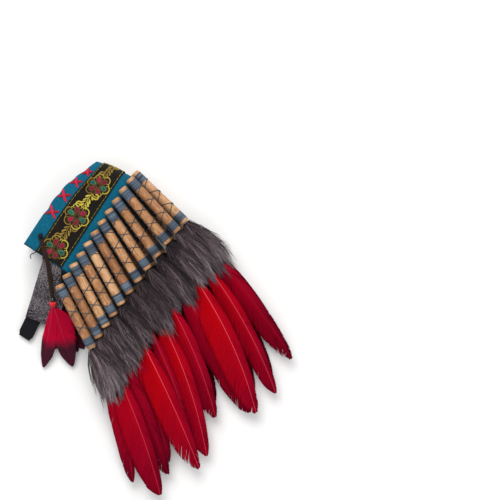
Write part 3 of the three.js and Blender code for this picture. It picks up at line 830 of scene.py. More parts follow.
# Embroidery. Its places are (u, x) points, along the ribbon and across it.
REPEAT, FIRST_FLOWER = 48.0, 38.8
FLOWERS = [FIRST_FLOWER + REPEAT * k for k in range(-4, 3)]
FLOWER_TURN, GREEN_PETALS = 28, (1, 4)
PETAL_NEAR, ROSE_FAR, GREEN_FAR, PETAL_HALF, PETAL_HIGH = 3.6, 12.0, 12.6, 3.8, 0.7
LEAF_NEAR, LEAF_FAR, LEAF_HALF, LEAF_HIGH = 0.5, 8.8, 1.7, 0.6
MARKS_X, MARK_STEP = 16.9, 2.6
# The gold threads: half their width, and their height.
FINE_GOLD, STEM_GOLD, BUD_GOLD = (0.32, 0.4), (0.5, 0.5), (0.55, 0.5)
BOLD_GOLD, SCROLL_GOLD = (0.85, 0.6), (1.05, 0.6)
# Arcs of gold: how far out their middle is, their radius, and half their turn in radians.
RIM_ARC, BUD_ARC, SCROLL_ARC = (10.6, 5.8, 1.3), (12.2, 1.5, 2.4), (0, 3.3, 2.3)
OUTLINE_NEAR, OUTLINE_PAST, OUTLINE_HALF, OUTLINE_SIDES = 1.6, 1.0, 4.7, 22
BUD_TURN, SCROLL_TURN = 0.52, 1.57
RIBBON_END = BAND_HALF - 1.5
CUT_END_Y = off_band(-RIBBON_END, 0.0, 0.0)[1] + 0.4
# The rings of a raised petal, from its edge: their size as a share, their height, and how much rim they show.
PETAL_RINGS = np.array([(1.0, 0.0, 1.0), (0.95, 0.6, 1.0), (0.8, 0.85, 0.1), (0.45, 1.0, 0.0)])
PETAL_SIDES = 12

rng = np.random.default_rng(11)
stitches = {"gold": [], "green": [], "rose": []}


def laid_thread(points, half, height, tone):
    """Thread laid on the ribbon along a list of (u, x) points, as a low tube."""
    p = np.asarray(points, float)
    centre = off_band(p[:, 0], p[:, 1], RIBBON_TOP + height * 0.3 + 0 * p[:, 0])
    run = np.linalg.norm(np.diff(p, axis=0), axis=1).sum()
    return thread(centre, band_normal(p[:, 0], p[:, 1]), half, height, 5, run, tone=tone, edge=0.0)


def teardrop(centre, angle, near, far, half, sides, share=1.0):
    """Points of a leaf outline that is round at its far end, and how far out they lie. The length goes as
    (1 - cos t) / 2 and the width as sin t times sin(t / 2) to the power 0.9, both drawn in by share."""
    t = np.linspace(0, 2 * np.pi, sides, endpoint=False)
    middle = near + 0.62 * (far - near)
    length = near + (far - near) * (1 - np.cos(t)) / 2
    length = (middle + (length - middle) * share).ravel()
    width = (half * np.sin(t) * np.abs(np.sin(t / 2)) ** 0.9 * share).ravel()
    c, s = math.cos(angle), math.sin(angle)
    return np.stack([centre[0] + length * c - width * s, centre[1] + length * s + width * c], axis=-1), length


def petal(centre, angle, near, far, half, height, tone):
    """A raised teardrop of satin stitch: rings of its outline, drawn in and lifted to a dome."""
    share, lift, edge = PETAL_RINGS.T
    points, run = teardrop(centre, angle, near, far, half, PETAL_SIDES, share[:, None])
    verts = off_band(points[:, 0], points[:, 1], RIBBON_TOP - 0.05 + height * np.repeat(lift, PETAL_SIDES))
    rings = len(PETAL_RINGS)
    faces = outward(verts, [grid_faces(rings, PETAL_SIDES, wrap=True), end_fans(rings, PETAL_SIDES)])
    return verts, faces, {"run": run, "tone": tone, "edge": np.repeat(edge, PETAL_SIDES)}


def arc(centre, angle, out, radius, half_turn, steps=14):
    """An arc round a point that lies at a distance from a flower's centre."""
    c = np.array(centre) + out * np.array([math.cos(angle), math.sin(angle)])
    a = angle + np.linspace(-half_turn, half_turn, steps)
    return np.stack([c[0] + radius * np.cos(a), c[1] + radius * np.sin(a)], axis=-1)


def flower(u0, bright):
    """Six petals of satin stitch, each in a thin gold teardrop, with scalloped gold rims round them."""
    for k in range(6):
        angle = math.radians(60 * k + FLOWER_TURN)
        name, far = ("green", GREEN_FAR) if k in GREEN_PETALS else ("rose", ROSE_FAR)
        fill = petal((u0, 0), angle, PETAL_NEAR, far, PETAL_HALF, PETAL_HIGH, rng.uniform(0.1, 0.9))
        stitches[name].append(fill)
        tone = bright + 0.25 * math.cos(angle - 2.2) + rng.uniform(-0.15, 0.15)
        drop = (OUTLINE_NEAR, far + OUTLINE_PAST, OUTLINE_HALF, OUTLINE_SIDES)
        outline, _ = teardrop((u0, 0), angle, *drop)
        stitches["gold"] += [
            laid_thread(np.concatenate([outline, outline[:1]]), *FINE_GOLD, 0.2),
            laid_thread(arc((u0, 0), angle, *RIM_ARC), *BOLD_GOLD, tone),
            laid_thread(arc((u0, 0), angle + BUD_TURN, *BUD_ARC, steps=9), *BUD_GOLD, tone),
        ]


def sprig(u0, bright):
    """A wheat ear between two flowers: pairs of filled leaves on a stem, with a scroll at each end."""
    span = np.linspace(-10, 10, 9)
    stem = np.stack([u0 + span, 0.7 * np.sin(span / 3)], -1)
    stitches["gold"].append(laid_thread(stem, *STEM_GOLD, bright))
    for k, along in enumerate(np.linspace(-9.0, 4.8, 4)):
        for sign in (-1, 1):
            tone = bright + rng.uniform(-0.25, 0.1)
            angle = math.radians(sign * rng.uniform(32, 42))
            far = LEAF_FAR - 0.7 * abs(k - 1.5)
            leaf = petal((u0 + along, 0.5 * sign), angle, LEAF_NEAR, far, LEAF_HALF, LEAF_HIGH, tone)
            stitches["gold"].append(leaf)
    for end, sign in ((-1, 1), (1, -1)):
        scroll = arc((u0 + 9.4 * end, 6.6 * sign), sign * SCROLL_TURN, *SCROLL_ARC)
        stitches["gold"].append(laid_thread(scroll, *SCROLL_GOLD, bright - 0.05))


for index, place in enumerate(FLOWERS):
    flower(place, 0.6 + 0.2 * (index % 2))
for index, place in enumerate([FLOWERS[0] - REPEAT] + FLOWERS):
    sprig(place + REPEAT / 2, 1.0 if index % 2 else 0.5)
for x in (-MARKS_X, MARKS_X):
    for u in np.arange(-RIBBON_END + 1, RIBBON_END - 2.2, MARK_STEP):
        mark = laid_thread([(u, x), (u + 0.8, x + 0.12), (u + 1.7, x)], 0.42, 0.42, 0.55 + 0.3 * math.sin(u))
        stitches["gold"].append(mark)
for name, material in (("gold", gold), ("green", green), ("rose", rose)):
    inside = [part for part in stitches[name] if part[0][:, 1].min() > CUT_END_Y]
    piece(f"embroidery_{name}", inside, material, "ribbon")


# Red lacing of the brim: crossed stitches of yarn, four on each side.
LACING_X, YARN_HALF, YARN_HIGH, YARN_RUN = -28.2, 1.75, 0.85, 22


def yarn_stitch(u0, size, turn):
    """One bar of a crossed stitch. It dips into the felt at both ends, as a sixth power, and the bar whose
    turn is 1 rises over the other in its middle, as a bell."""
    t = np.linspace(-1, 1, 15)
    u = u0 + turn * t * size * 0.72 + rng.uniform(-0.6, 0.6) + 0.5 * np.sin(t * 3 + turn)
    x = LACING_X + t * size * (0.86 + 0.05 * turn)
    dip = np.abs(t) ** 6
    rise = (0.9 if turn > 0 else 0.0) * np.exp(-((t * 3) ** 2))
    centre = off_band(u, x, FELT / 2 + 1.0 * (1 - dip) - 0.9 * dip + rise)
    half = YARN_HALF * (1 - 0.45 * t**2)
    return thread(centre, band_normal(u, x), half, YARN_HIGH, 8, YARN_RUN, tone=0.45 + 0.3 * turn)


bars = [yarn_stitch(side * u0, size, turn) for side in (-1, 1) for u0, size in LACING for turn in (-1, 1)]
piece("brim_lacing", bars, red_yarn, "felt")


# Sticks. A row for each ring of a stick: how far along it is, its radius, and how much cut end it shows.
STICK_RINGS = np.array([
    (3.0, 1.9, 1), (0.6, 2.1, 1), (0.0, 2.7, 1), (0.3, 4.9, 1), (1.3, 5.7, 0.35), (4, STICK_R, 0),
    (25, STICK_R, 0), (40, STICK_R, 0), (55, STICK_R, 0), (70, STICK_R, 0), (84, STICK_R, 0),
    (87.8, 5.8, 0.35), (88.7, 5.0, 1), (STICK_LENGTH, 2.8, 1), (88.4, 2.2, 1), (86.0, 2.0, 1),
])
STICK_SIDES, WRAP_SIDES = 28, 20
WRAP_PITCH, WRAP_SWELL, CROSS_IN = 0.95, 0.36, 0.6
CROSS_HALF, CROSS_HIGH, CROSS_RUN, CROSS_STEPS = 0.55, 0.42, 90, 72


def side_shade(angle, rings):
    """How far each point of the rings is turned from the way out of the band, as a power of 1 - cos: the
    painted shade on the sides of a stick and of its wrapping.
    """
    return with_ends(np.tile(np.clip(1 - np.cos(angle), 0, 1) ** 1.3, rings), 0, 0)


def stick_wood(top, along, normal, tone):
    """A turned stick with a small hollow in each end, its body a little uneven as a sine."""
    at, radius, cut = STICK_RINGS.T
    radius = np.where(radius < STICK_R, radius, STICK_R * (1 + 0.006 * np.sin(at / 9 + tone * 6)))
    rings, angle = lathe_rings(top, along, normal, at, radius, STICK_SIDES)
    verts, faces = closed_lathe(rings, top + along * at[0], top + along * at[-1])
    return verts, faces, {
        "run": with_ends(np.repeat(at, STICK_SIDES), 0, STICK_LENGTH),
        "round": with_ends(np.tile(np.cos(angle) + 0.6 * np.sin(angle), len(at)), 0, 0),
        "tone": tone,
        "limb": side_shade(angle, len(at)),
        "end": with_ends(np.repeat(cut, STICK_SIDES), 1, 1),
    }


def wound_thread(top, along, normal, start, length):
    """Turns of thread side by side round a stick: each swells as the power 0.6 of a half sine."""
    turns = int(length / WRAP_PITCH)
    phase = np.linspace(0, turns, turns * 4 + 1)
    turn = np.minimum(phase.astype(int), turns)
    wobble = rng.normal(0, 0.03, turns + 1)[turn]
    radius = STICK_R + 0.06 + (WRAP_SWELL + wobble) * np.abs(np.sin(np.pi * phase)) ** 0.6
    radius[0] = radius[-1] = STICK_R - 0.3
    rings, angle = lathe_rings(top, along, normal, start + length * phase / turns, radius, WRAP_SIDES)
    verts, faces = closed_lathe(rings, top + along * start, top + along * (start + length))
    return verts, faces, {
        "run": with_ends(np.tile(angle * 6, len(phase)), 0, 0),
        "limb": side_shade(angle, len(phase)),
        "tone": with_ends(np.repeat(rng.random(turns + 1)[turn], WRAP_SIDES), 0.5, 0.5),
    }


def crossed_threads(top, along, normal, tone):
    """Two threads that climb a stick as helices of opposite hand, one over the other where they cross."""
    first = rng.uniform(-0.5, 0.5)
    turns = rng.uniform(2.6, 3.0)
    t = np.linspace(0, 1, CROSS_STEPS)
    low, high = STICK_END + TOP_WRAP - CROSS_IN, STICK_LENGTH - STICK_END - LOW_WRAP + CROSS_IN
    parts = []
    for hand in (-1, 1):
        angle = first + hand * 2 * np.pi * turns * t + 0.12 * np.sin(7 * t + tone * 9)
        over = (0.34 if hand > 0 else 0.0) * np.abs(np.sin(2 * np.pi * turns * t)) ** 12
        ring = round_axis(along, normal, angle)
        centre = top + along * mix(low, high, t)[:, None] + ring * (STICK_R + 0.36 + over)[:, None]
        shade = rng.uniform(0.2, 0.8)
        parts.append(thread(centre, ring, CROSS_HALF, CROSS_HIGH, 6, CROSS_RUN, tone=shade))
    return parts


wood_parts, wrap_parts, cross_parts, stick_nodes = [], [], [], []
for side, name in ((1, "left"), (-1, "right")):
    for number in range(1, STICKS + 1):
        top, along, _, normal = stick_axis(side * (STICKS + 0.5 - number))
        tone = rng.random()
        wood_parts.append(stick_wood(top, along, normal, tone))
        wrap_parts.append(wound_thread(top, along, normal, STICK_END, TOP_WRAP))
        wrap_parts.append(wound_thread(top, along, normal, STICK_LENGTH - STICK_END - LOW_WRAP, LOW_WRAP))
        cross_parts += crossed_threads(top, along, normal, tone)
        stick_nodes.append(f"stick_{name}_{number:02d}")
piece("stick_woods", wood_parts, wood, "stick_wood", *stick_nodes)
piece("stick_wrappings", wrap_parts, wrap_thread, "stick_wood")
piece("stick_crossed_threads", cross_parts, cross_thread, "stick_wood")


# Plumes

PATH_STEPS = 60
BARB_STEPS, BARB_THICK = 7, 0.24
BARBS_END = 0.99
ROOT_SLANT, TIP_SLANT, NARROW_SLANT = 38.0, 27.0, 0.7
QUILL_ROOT_R, QUILL_TIP_R = 0.85, 0.22
LOCKS = 84
STRAND_STEPS, STRAND_R = 6, 0.31
CORE_ROWS, CORE_SIDES = 10, 12


def smooth_outline(at, width, samples=241):
    """A table of widths as a smooth function of the share along: three running means, and an elliptic tip."""
    x = np.linspace(0, 1, samples)
    y = np.interp(x, at, width, left=0, right=0)
    for _ in range(3):
        y = np.convolve(np.pad(y, 5, mode="edge"), np.ones(11) / 11, mode="valid")
    y = y * np.sqrt(1 - np.clip((x - 0.94) / 0.06, 0, 1) ** 2)
    return lambda s: np.interp(s, x, y)


WIDE = smooth_outline(VANE_AT, VANE_L)
NARROW = smooth_outline(VANE_AT, VANE_R)
SIDE_OUTLINE = smooth_outline(SIDE_AT, SIDE_W)
BROAD_OUTLINE = smooth_outline(BROAD_AT, BROAD_W)


class PlumePath:
    """The quill of a plume: it leaves its stick in line, turns back along an arc and sinks to the height of
    its tip, with its vanes rolled like a shingle. One that lies over both neighbours is lifted as well."""

    def __init__(self, place, length, tip_turn, over_both):
        """place is the stick's, and tip_turn how far the tip swings round the stick's end, in degrees."""
        _, along, end, _ = stick_axis(place)
        self.lift = OVER_LIFT if over_both else 0.0
        self.roll = OVER_ROLL if over_both else FEATHER_ROLL
        self.length = length
        self.side = 1 if place > 0 else -1
        tip_z = UPPER_TIP_Z if place > 0 else UNDER_TIP_Z
        slope = along[2] / math.hypot(along[0], along[1]) * length
        turn = math.radians(2 * tip_turn)
        angle = math.atan2(along[1], along[0]) + turn * (np.arange(PATH_STEPS) + 0.5) / PATH_STEPS
        t = np.arange(1, PATH_STEPS + 1) / PATH_STEPS
        x = end[0] + np.cumsum(np.cos(angle)) * length / PATH_STEPS
        y = end[1] + np.cumsum(np.sin(angle)) * length / PATH_STEPS
        z = mix(end[2], tip_z, smooth(t)) + slope * t * (1 - t) ** 2
        self.path = np.concatenate([[end], np.stack([x, y, z], axis=-1)])
        self.tangent = unit(np.gradient(self.path, axis=0))
        self.at = np.linspace(0, length, PATH_STEPS + 1)

    def frame(self, s):
        """Origin, across and normal at lengths s. Past the tip the origin goes straight on."""
        past = np.maximum(s - self.length, 0)[..., None]
        origin = np.stack([np.interp(s, self.at, self.path[:, k]) for k in range(3)], axis=-1)
        tangent = unit(np.stack([np.interp(s, self.at, self.tangent[:, k]) for k in range(3)], axis=-1))
        front = unit(np.cross(UP, tangent))
        up = np.cross(tangent, front)
        eased = smooth((s - 0.5 * TUFT_LENGTH) / TUFT_LENGTH)
        roll = np.radians(self.side * mix(TUFT_ROLL, self.roll, eased))[..., None]
        origin = origin + UP * (self.lift * eased)[..., None] + tangent * past
        return origin, front * np.cos(roll) + up * np.sin(roll), up * np.cos(roll) - front * np.sin(roll)

    def point(self, s, w, n):
        """The point at the length s, w across and n above the quill."""
        origin, across, normal = self.frame(s)
        return origin + across * np.asarray(w)[..., None] + normal * np.asarray(n)[..., None]


def barb_groups(rng, count, groups, strength):
    """How far each barb's tip is drawn to the middle of its group, which opens the splits of a vane, and the
    shade of its group."""
    pull, tone = np.zeros(count), np.zeros(count)
    cuts = np.sort(rng.choice(np.arange(count // 4, count - 6), groups, replace=False))
    edges = np.concatenate([[0], cuts, [count]])
    for a, b in zip(edges[:-1], edges[1:]):
        t = (np.arange(a, b) - a + 0.5) / (b - a)
        pull[a:b] = -strength * rng.uniform(0.2, 1.0) * (t - 0.5) * min(b - a, 30)
        tone[a:b] = rng.uniform(0, 1)
    return pull, tone


def vane(rng, path, length, start, sign, width, outline, count, depth, splits, fray, open_up):
    """One vane of barbs, wide where sign is -1 and narrow where it is 1. A barb leaves the quill at a slant
    and curves to the tip as a quadratic curve. Its end lies on the vane's outline, ahead of its root by the
    outline's width over the slant, and never past the tip. Near the feather's tip the ends are frayed."""
    broad = sign < 0
    t = np.linspace(0, 1, BARB_STEPS)[None, :]
    share = np.linspace(start, BARBS_END, count)
    spacing = length * (BARBS_END - start) / count
    pull, tone = barb_groups(rng, count, splits if broad else max(1, splits - 1), 0.08 + 0.08 * fray)
    degrees = mix(ROOT_SLANT, TIP_SLANT, (share - start) / (1 - start))
    slant = np.tan(np.radians(degrees)) * (1.0 if broad else NARROW_SLANT) * open_up
    end = share
    for _ in range(6):
        ahead = np.minimum(width * outline(end) / slant / length, 0.82 * (1 - share))
        end = mix(end, share + ahead, 0.7)
    frayed = fray * smooth((end - 0.8) / 0.2)
    tip = end * length + pull * spacing + rng.normal(0, 0.12 + 0.9 * frayed, count)
    edge = width * outline(end) * (1 + rng.normal(0, 0.006 + 0.05 * frayed, count))
    edge = edge * (1 - 0.55 * frayed * rng.uniform(0, 1, count) ** 2) + 0.25
    tip, edge, root = tip[:, None], edge[:, None], share[:, None] * length
    s = (1 - t) ** 2 * root + 2 * t * (1 - t) * mix(root, tip, 0.34) + t**2 * tip
    w = 2 * t * (1 - t) * 0.6 * edge + t**2 * edge
    camber = -1.1 * (w / max(width, 1)) ** 2 * (1 if broad else 0.6)
    wave = 0.5 * np.sin(share * 23 + depth * 9)[:, None] * t**2
    lift = rng.normal(0, 0.05, count)[:, None] * t + camber + wave
    centre = path(s, sign * w, lift)
    side, above = frames_along(centre, unit(path(s, sign * w, lift + 1) - centre))
    half = spacing * (0.62 - 0.1 * t) * (1 - (0.25 + 0.5 * frayed[:, None]) * t**6)
    verts, faces, barb, along = tubes(centre, side, above, half, BARB_THICK, 3, 0.25)
    return verts, faces, {
        "along": along, "tone": tone[barb], "rand": rng.random(count)[barb], "share": share[barb],
        "depth": depth + (0.0 if broad else 0.16),
    }


def quill(path, length, start, depth):
    """A tapered quill along the middle of a feather's own surface, marked by along = -1."""
    s = np.linspace(max(0.02, start - 0.12), BARBS_END, 40)[None, :] * length
    centre = path(s, 0 * s, 0 * s + 0.3)
    above = unit(path(s, 0 * s, 0 * s + 1.3) - centre)
    side, _ = frames_along(centre, above)
    radius = mix(QUILL_ROOT_R, QUILL_TIP_R, (s / length) ** 0.8)
    verts, faces, _, along = tubes(centre, side, above, radius, radius * 0.8, 8)
    return verts, faces, {"along": -1.0, "tone": 0.5, "rand": 0.5, "share": along, "depth": depth}


def feather(rng, path, length, start, widths, outlines, count, depth, splits, fray, open_up=1.0):
    """One feather: two vanes of barbs and a quill. path(s, w, n) gives a point of the feather's own surface.
    widths and outlines are those of the wide vane and the narrow one. open_up widens the barbs' slant."""
    look = (count, depth, splits, fray, open_up)
    return [
        vane(rng, path, length, start, -1, widths[0], outlines[0], *look),
        vane(rng, path, length, start, 1, widths[1], outlines[1], *look),
        quill(path, length, start, depth),
    ]


def fur_strands(rng, path, strands, reach, dark, pale):
    """Small pointed locks of fur, laid over each other like thatch. A lock has a start, a place across, a
    heading, a shade and a sway. Its strands start round it and run to its tip, over a domed tuft."""
    lock_start = rng.beta(1.0, 1.15, LOCKS) * 0.74
    lock_lane = rng.uniform(-1, 1, LOCKS)
    lock_heading = rng.normal(0, 0.085, LOCKS) + 0.1 * lock_lane
    lock_length = rng.uniform(0.34, 0.6, LOCKS)
    lock_end = np.minimum(lock_start + lock_length, 1.0 - 0.14 * lock_lane**2 + rng.normal(0, 0.06, LOCKS))
    lock_shade = rng.random(LOCKS) + pale
    lock_sway = rng.normal(0, 1.0, LOCKS)
    lock_height = rng.uniform(0.75, 1.15, LOCKS)
    k = rng.integers(0, LOCKS, strands)
    start = np.clip(lock_start[k] + rng.normal(0, 0.05, strands), 0, 0.9)
    end = lock_end[k] - 0.1 * rng.random(strands) ** 1.5 + np.where(rng.random(strands) < 0.06, 0.07, 0.0)
    lane = np.clip(lock_lane[k] + rng.normal(0, 0.17, strands), -1.1, 1.1)
    tip_lane = lock_lane[k] + rng.normal(0, 0.06, strands)
    t = np.linspace(0, 1, STRAND_STEPS)[None, :]
    f = mix(start[:, None], np.maximum(end, start + 0.12)[:, None], t) * reach
    across = mix(lane[:, None], tip_lane[:, None], smooth(t * 1.1))
    half_w = np.interp(f, TUFT_AT, TUFT_W) * TUFT_WIDTH / 2
    half_t = np.interp(f, TUFT_AT, TUFT_T) * TUFT_THICK / 2
    w = across * half_w + np.tan(lock_heading[k])[:, None] * TUFT_LENGTH * (f - f[:, :1])
    w += lock_sway[k][:, None] * np.sin(np.pi * t) + rng.normal(0, 0.7, strands)[:, None] * t**2
    dome = 1 - 0.62 * np.minimum(across**2, 1.1)
    top = np.where(rng.random(strands) < 0.85, lock_height[k], -lock_height[k])[:, None]
    loose = 0.2 + 0.9 * np.sin(np.pi * t) * rng.random((strands, 1))
    n = top * dome * half_t * mix(0.8, 1.05, t) + np.sign(top) * loose
    s = GAP + 0.3 + TUFT_LENGTH * f
    centre = path.point(s, w, n)
    centre[..., 2] = np.maximum(centre[..., 2], 0.5)
    _, _, normal = path.frame(s)
    side, _ = frames_along(centre, normal)
    radius = STRAND_R * rng.uniform(0.6, 1.2, strands)[:, None] * (1 - 0.88 * t**2.2)
    verts, faces, strand, along = tubes(centre, side, normal, radius, radius, 3)
    # Painted shade in the valleys between tufts: each tuft darkens towards its sides.
    edge = np.clip((np.abs(lane) - 0.4) * 1.5, 0, 0.9)
    return verts, faces, {
        "along": along, "rand": rng.random(strands)[strand], "tone": lock_shade[k][strand],
        "share": np.repeat(f.ravel(), 3), "depth": np.maximum(edge[strand], dark),
    }


def fur_core(path, reach, dark):
    """The dark core of a tuft: rings a little inside it, which close towards its tip. It takes the fur's
    darkest colour, as painted shade deep in the tuft.
    """
    rows = np.linspace(0, 0.86, CORE_ROWS) * reach
    angle = np.linspace(0, 2 * np.pi, CORE_SIDES, endpoint=False)[None, :]
    half_w = np.interp(rows, TUFT_AT, TUFT_W)[:, None] * TUFT_WIDTH / 2 * 0.86
    half_t = np.interp(rows, TUFT_AT, TUFT_T)[:, None] * TUFT_THICK / 2 * 0.8
    close = np.clip((reach - rows) / (0.4 * reach), 0, 1)[:, None] ** 0.7
    s = np.broadcast_to(GAP + 0.4 + TUFT_LENGTH * rows[:, None], (CORE_ROWS, CORE_SIDES))
    verts = path.point(s, np.cos(angle) * half_w * close, np.sin(angle) * half_t * close).reshape(-1, 3)
    faces = outward(verts, [grid_faces(CORE_ROWS, CORE_SIDES, wrap=True), end_fans(CORE_ROWS, CORE_SIDES)])
    return verts, faces, {"along": 0.0, "rand": 0.0, "tone": 0.0, "share": 0.0, "depth": dark}


GROUPS = (("rear", range(1, 5)), ("middle", range(5, 9)), ("front", range(9, 13)))
# The lower side lies under the upper one: its feathers are deepened to a darker red and its fur darkened, both
# as painted shade.
UNDER_FRAY, UNDER_SPLITS, UNDER_DEPTH, UNDER_DARK = 0.3, 2, 0.75, 0.8
# The barbs of a vane and the strands of a tuft, on top and below, and the bare share of a quill.
UPPER_BARBS, UNDER_BARBS, UPPER_STRANDS, UNDER_STRANDS, BARE_QUILL = 150, 90, 860, 240, 0.2


def plume(number, upper):
    """The parts of one plume's feather and those of its fur. The lower side's are coarser, and darker as
    painted shade.
    """
    upper_share, upper_turn, under_share, under_turn, width, depth, fray, splits, reach = PLUMES[number - 1]
    rng = np.random.default_rng(100 + 7 * number + (0 if upper else 500))
    place = (1 if upper else -1) * (STICKS + 0.5 - number)
    if upper:
        path = PlumePath(place, PLUME * upper_share, upper_turn, number in OVER_BOTH)
        barbs, strands, dark = UPPER_BARBS, UPPER_STRANDS, 0.0
    else:
        path = PlumePath(place, PLUME * under_share, under_turn, False)
        barbs, strands, dark = UNDER_BARBS, UNDER_STRANDS, UNDER_DARK
        depth, fray, splits = mix(depth, 1.0, UNDER_DEPTH), UNDER_FRAY, UNDER_SPLITS
    widths = (VANE_WIDE * width, VANE_NARROW * width)
    look = (barbs, depth, splits, fray)
    barbed = feather(rng, path.point, path.length, BARE_QUILL, widths, (WIDE, NARROW), *look)
    hairy = [fur_strands(rng, path, strands, reach, dark, TUFT_PALE[number - 1]), fur_core(path, reach, dark)]
    return barbed, hairy


for name in ("left", "right"):
    for group, numbers in GROUPS:
        feathers, tufts = [], []
        for number in numbers:
            barbed, hairy = plume(number, name == "left")
            feathers += barbed
            tufts += hairy
        nodes = [f"plume_{name}_{number:02d}" for number in numbers]
        piece(f"feathers_{name}_{group}", feathers, red_feather, "plume", *nodes)
        piece(f"fur_{name}_{group}", tufts, fur, "plume")


# Flaps and strap

UNDER_TOP, UNDER_ALONG, _, _ = stick_axis(0.5 - STICKS)
FLAP_ROWS, FLAP_COLUMNS = 70, 40
HEM_SEAM, SEAM_WIDTH, SEAM_DEEP = 0.93, 0.008, 0.55
# How much of a flap's width and of its length its rounded edges take, and how far it ripples and slackens.
EDGE_LANE, EDGE_SHARE, FLAP_RIPPLE, FLAP_SLACK = 0.025, 0.012, 0.25, 1.06


def under_height(x, y):
    """The lower flap's middle: sewn inside the felt, it drapes off the felt behind the sticks and down to the
    table.
    """
    px, py = x - UNDER_TOP[0], y - UNDER_TOP[1]
    along = np.clip(px * UNDER_ALONG[0] + py * UNDER_ALONG[1], 0, STICK_LENGTH)
    away = np.hypot(px - along * UNDER_ALONG[0], py - along * UNDER_ALONG[1]) - BACKING_PAST - FLAP
    sewn = SHEET_Z + FELT / 2 + GAP + FLAP / 2
    draped = mix(FLAP / 2, sewn, smooth(1 - away / FLAP_DRAPE))
    return mix(draped, sewn, smooth((y - BAND_END_Y + FLAP_DRAPE) / FLAP_DRAPE))


def upper_height(x, y):
    """The upper flap's middle: from inside the upper felt it sags down onto the other one."""
    sheet = SHEET_Z + 2 * FOLD_R - (FELT + FLAP) / 2 - GAP
    rest = under_height(x, y) + FLAP + 2 * (STRAP_FOLD_R + GAP) + STRAP
    share = np.clip((BAND_END_Y - y) / (BAND_END_Y - FLAP_HEM_Y), 0, 1)
    start = sheet - UPPER_SLOPE * np.maximum(0, x - STICK_TOP_X)
    return mix(start, rest, 1 - (1 - share) ** 1.7)


def flap_place(lane, share):
    """Where a flap lies, lane across and share along it: it narrows to its hem and sweeps off to one side."""
    width = mix(FLAP_WIDTH, FLAP_HEM_WIDTH, np.clip(share, 0, 1))
    x = FLAP_BRIM_X + FLAP_SWEEP * share**1.2 + lane * width
    return x, mix(BAND_END_Y + FLAP_LAP, FLAP_HEM_Y, share) + 9 * lane * share


def flap(name, height, node, lift):
    """A soft flap with a seam above its hem: two smooth grids whose gap closes at the edges, as a square
    root, and dips at the seam, as a bell."""
    share = np.linspace(0, 1, FLAP_ROWS)[:, None]
    lane = np.linspace(0, 1, FLAP_COLUMNS)[None, :]
    x, y = flap_place(lane, share)
    z = height(x, y)
    ripple = lift * FLAP_RIPPLE * np.sin(lane * 9 + share * 4) * smooth(share * 3)
    seam = np.exp(-(((share - HEM_SEAM) / SEAM_WIDTH) ** 2)) * SEAM_DEEP
    edge = np.minimum(np.minimum(lane, 1 - lane) / EDGE_LANE, np.minimum(share, 1 - share) / EDGE_SHARE)
    half = FLAP / 2 * np.sqrt(np.clip(edge, 0.12, 1)) - seam
    top = np.stack([x, y, z + ripple + half], axis=-1)
    bottom = np.stack([x, y, np.maximum(z + ripple - half, 0.02)], axis=-1)
    obj = piece(name, [(*slab(top, bottom), {})], heather, "grey_felt", node)


flap("rear_flap_cloth_right", under_height, "rear_flap_right", 0.0)
flap("rear_flap_cloth_left", upper_height, "rear_flap_left", 1.0)

FLAT_STEPS, TURN_STEPS, STRAP_COLUMNS = 24, 12, 16
INSET_FROM, STRAP_INSET, STRAP_SLANT = 17, 1.8, 0.12


def elastic_strap():
    """One elastic strip between the hems, folded once: flat out, round a half circle and flat back. Its two
    sides are a radius apart from the fold's middle, and its corners draw in as a square."""
    hem_x, hem_y = flap_place(STRAP_FROM_EDGE / FLAP_HEM_WIDTH, 1.0)
    inner = STRAP_FOLD_R - STRAP / 2
    level = under_height(hem_x, hem_y) + FLAP / 2 + GAP + STRAP + inner
    flat_run = np.linspace(-STRAP_LAP, STRAP_REACH - STRAP_FOLD_R, FLAT_STEPS)
    turn = np.linspace(-0.5, 0.5, TURN_STEPS + 2)[1:-1] * np.pi
    flat, bent = np.ones(FLAT_STEPS), np.ones(TURN_STEPS)
    out = np.concatenate([flat_run, bent * flat_run[-1], flat_run[::-1]])
    angle = np.concatenate([flat * -np.pi / 2, turn, flat * np.pi / 2])
    bulge = np.concatenate([0 * flat, bent, 0 * flat])
    cross = np.linspace(0, STRAP_WIDTH, STRAP_COLUMNS)[None, :]
    drawn = np.clip((out[:, None] - INSET_FROM) / (STRAP_REACH - STRAP_FOLD_R - INSET_FROM), 0, 1)
    inset = STRAP_INSET * drawn**2
    x = hem_x + mix(inset, STRAP_WIDTH - inset, cross / STRAP_WIDTH) + STRAP_SLANT * out[:, None]

    def side(radius):
        """The side of the strip at this radius round the fold."""
        y = hem_y - out - radius * np.cos(angle) * bulge
        z = level + radius * np.sin(angle)
        return np.stack(np.broadcast_arrays(x, y[:, None], z[:, None]), axis=-1)

    run = np.concatenate([[0], np.cumsum(np.hypot(np.diff(out), np.diff(angle) * STRAP_FOLD_R))])
    attrs = {"run": np.tile(np.repeat(run, STRAP_COLUMNS), 2), "cross": np.tile(cross[0], 2 * len(out))}
    part = (*slab(side(inner + STRAP), side(inner)), attrs)
    strap = piece("elastic_cloth", [part], elastic, "elastic", "elastic_strap")


elastic_strap()


# Side laces with their beads and feathers

LACE_STEPS, LACE_SIDES, BEAD_SIDES, BEAD_HOLE_R = 60, 14, 28, 1.75
LACE_AT, LACE_W = (0.0, 0.87, 0.92, 1.0), (1.0, 1.0, 0.58, 0.58)
SIDE_START, SIDE_BARBS, SIDE_DEPTH, SIDE_SPLITS, SIDE_FRAY, SIDE_OPEN = 0.06, 76, 0.15, 1, 0.08, 1.9
TIE_TURNS, TIE_STEPS, TIE_SIDES = 7, 42, 20
TIE_AT, TIE_W = (0, 0.1, 0.5, 0.85, 1), (0.85, 1, 1, 0.92, 0.72)


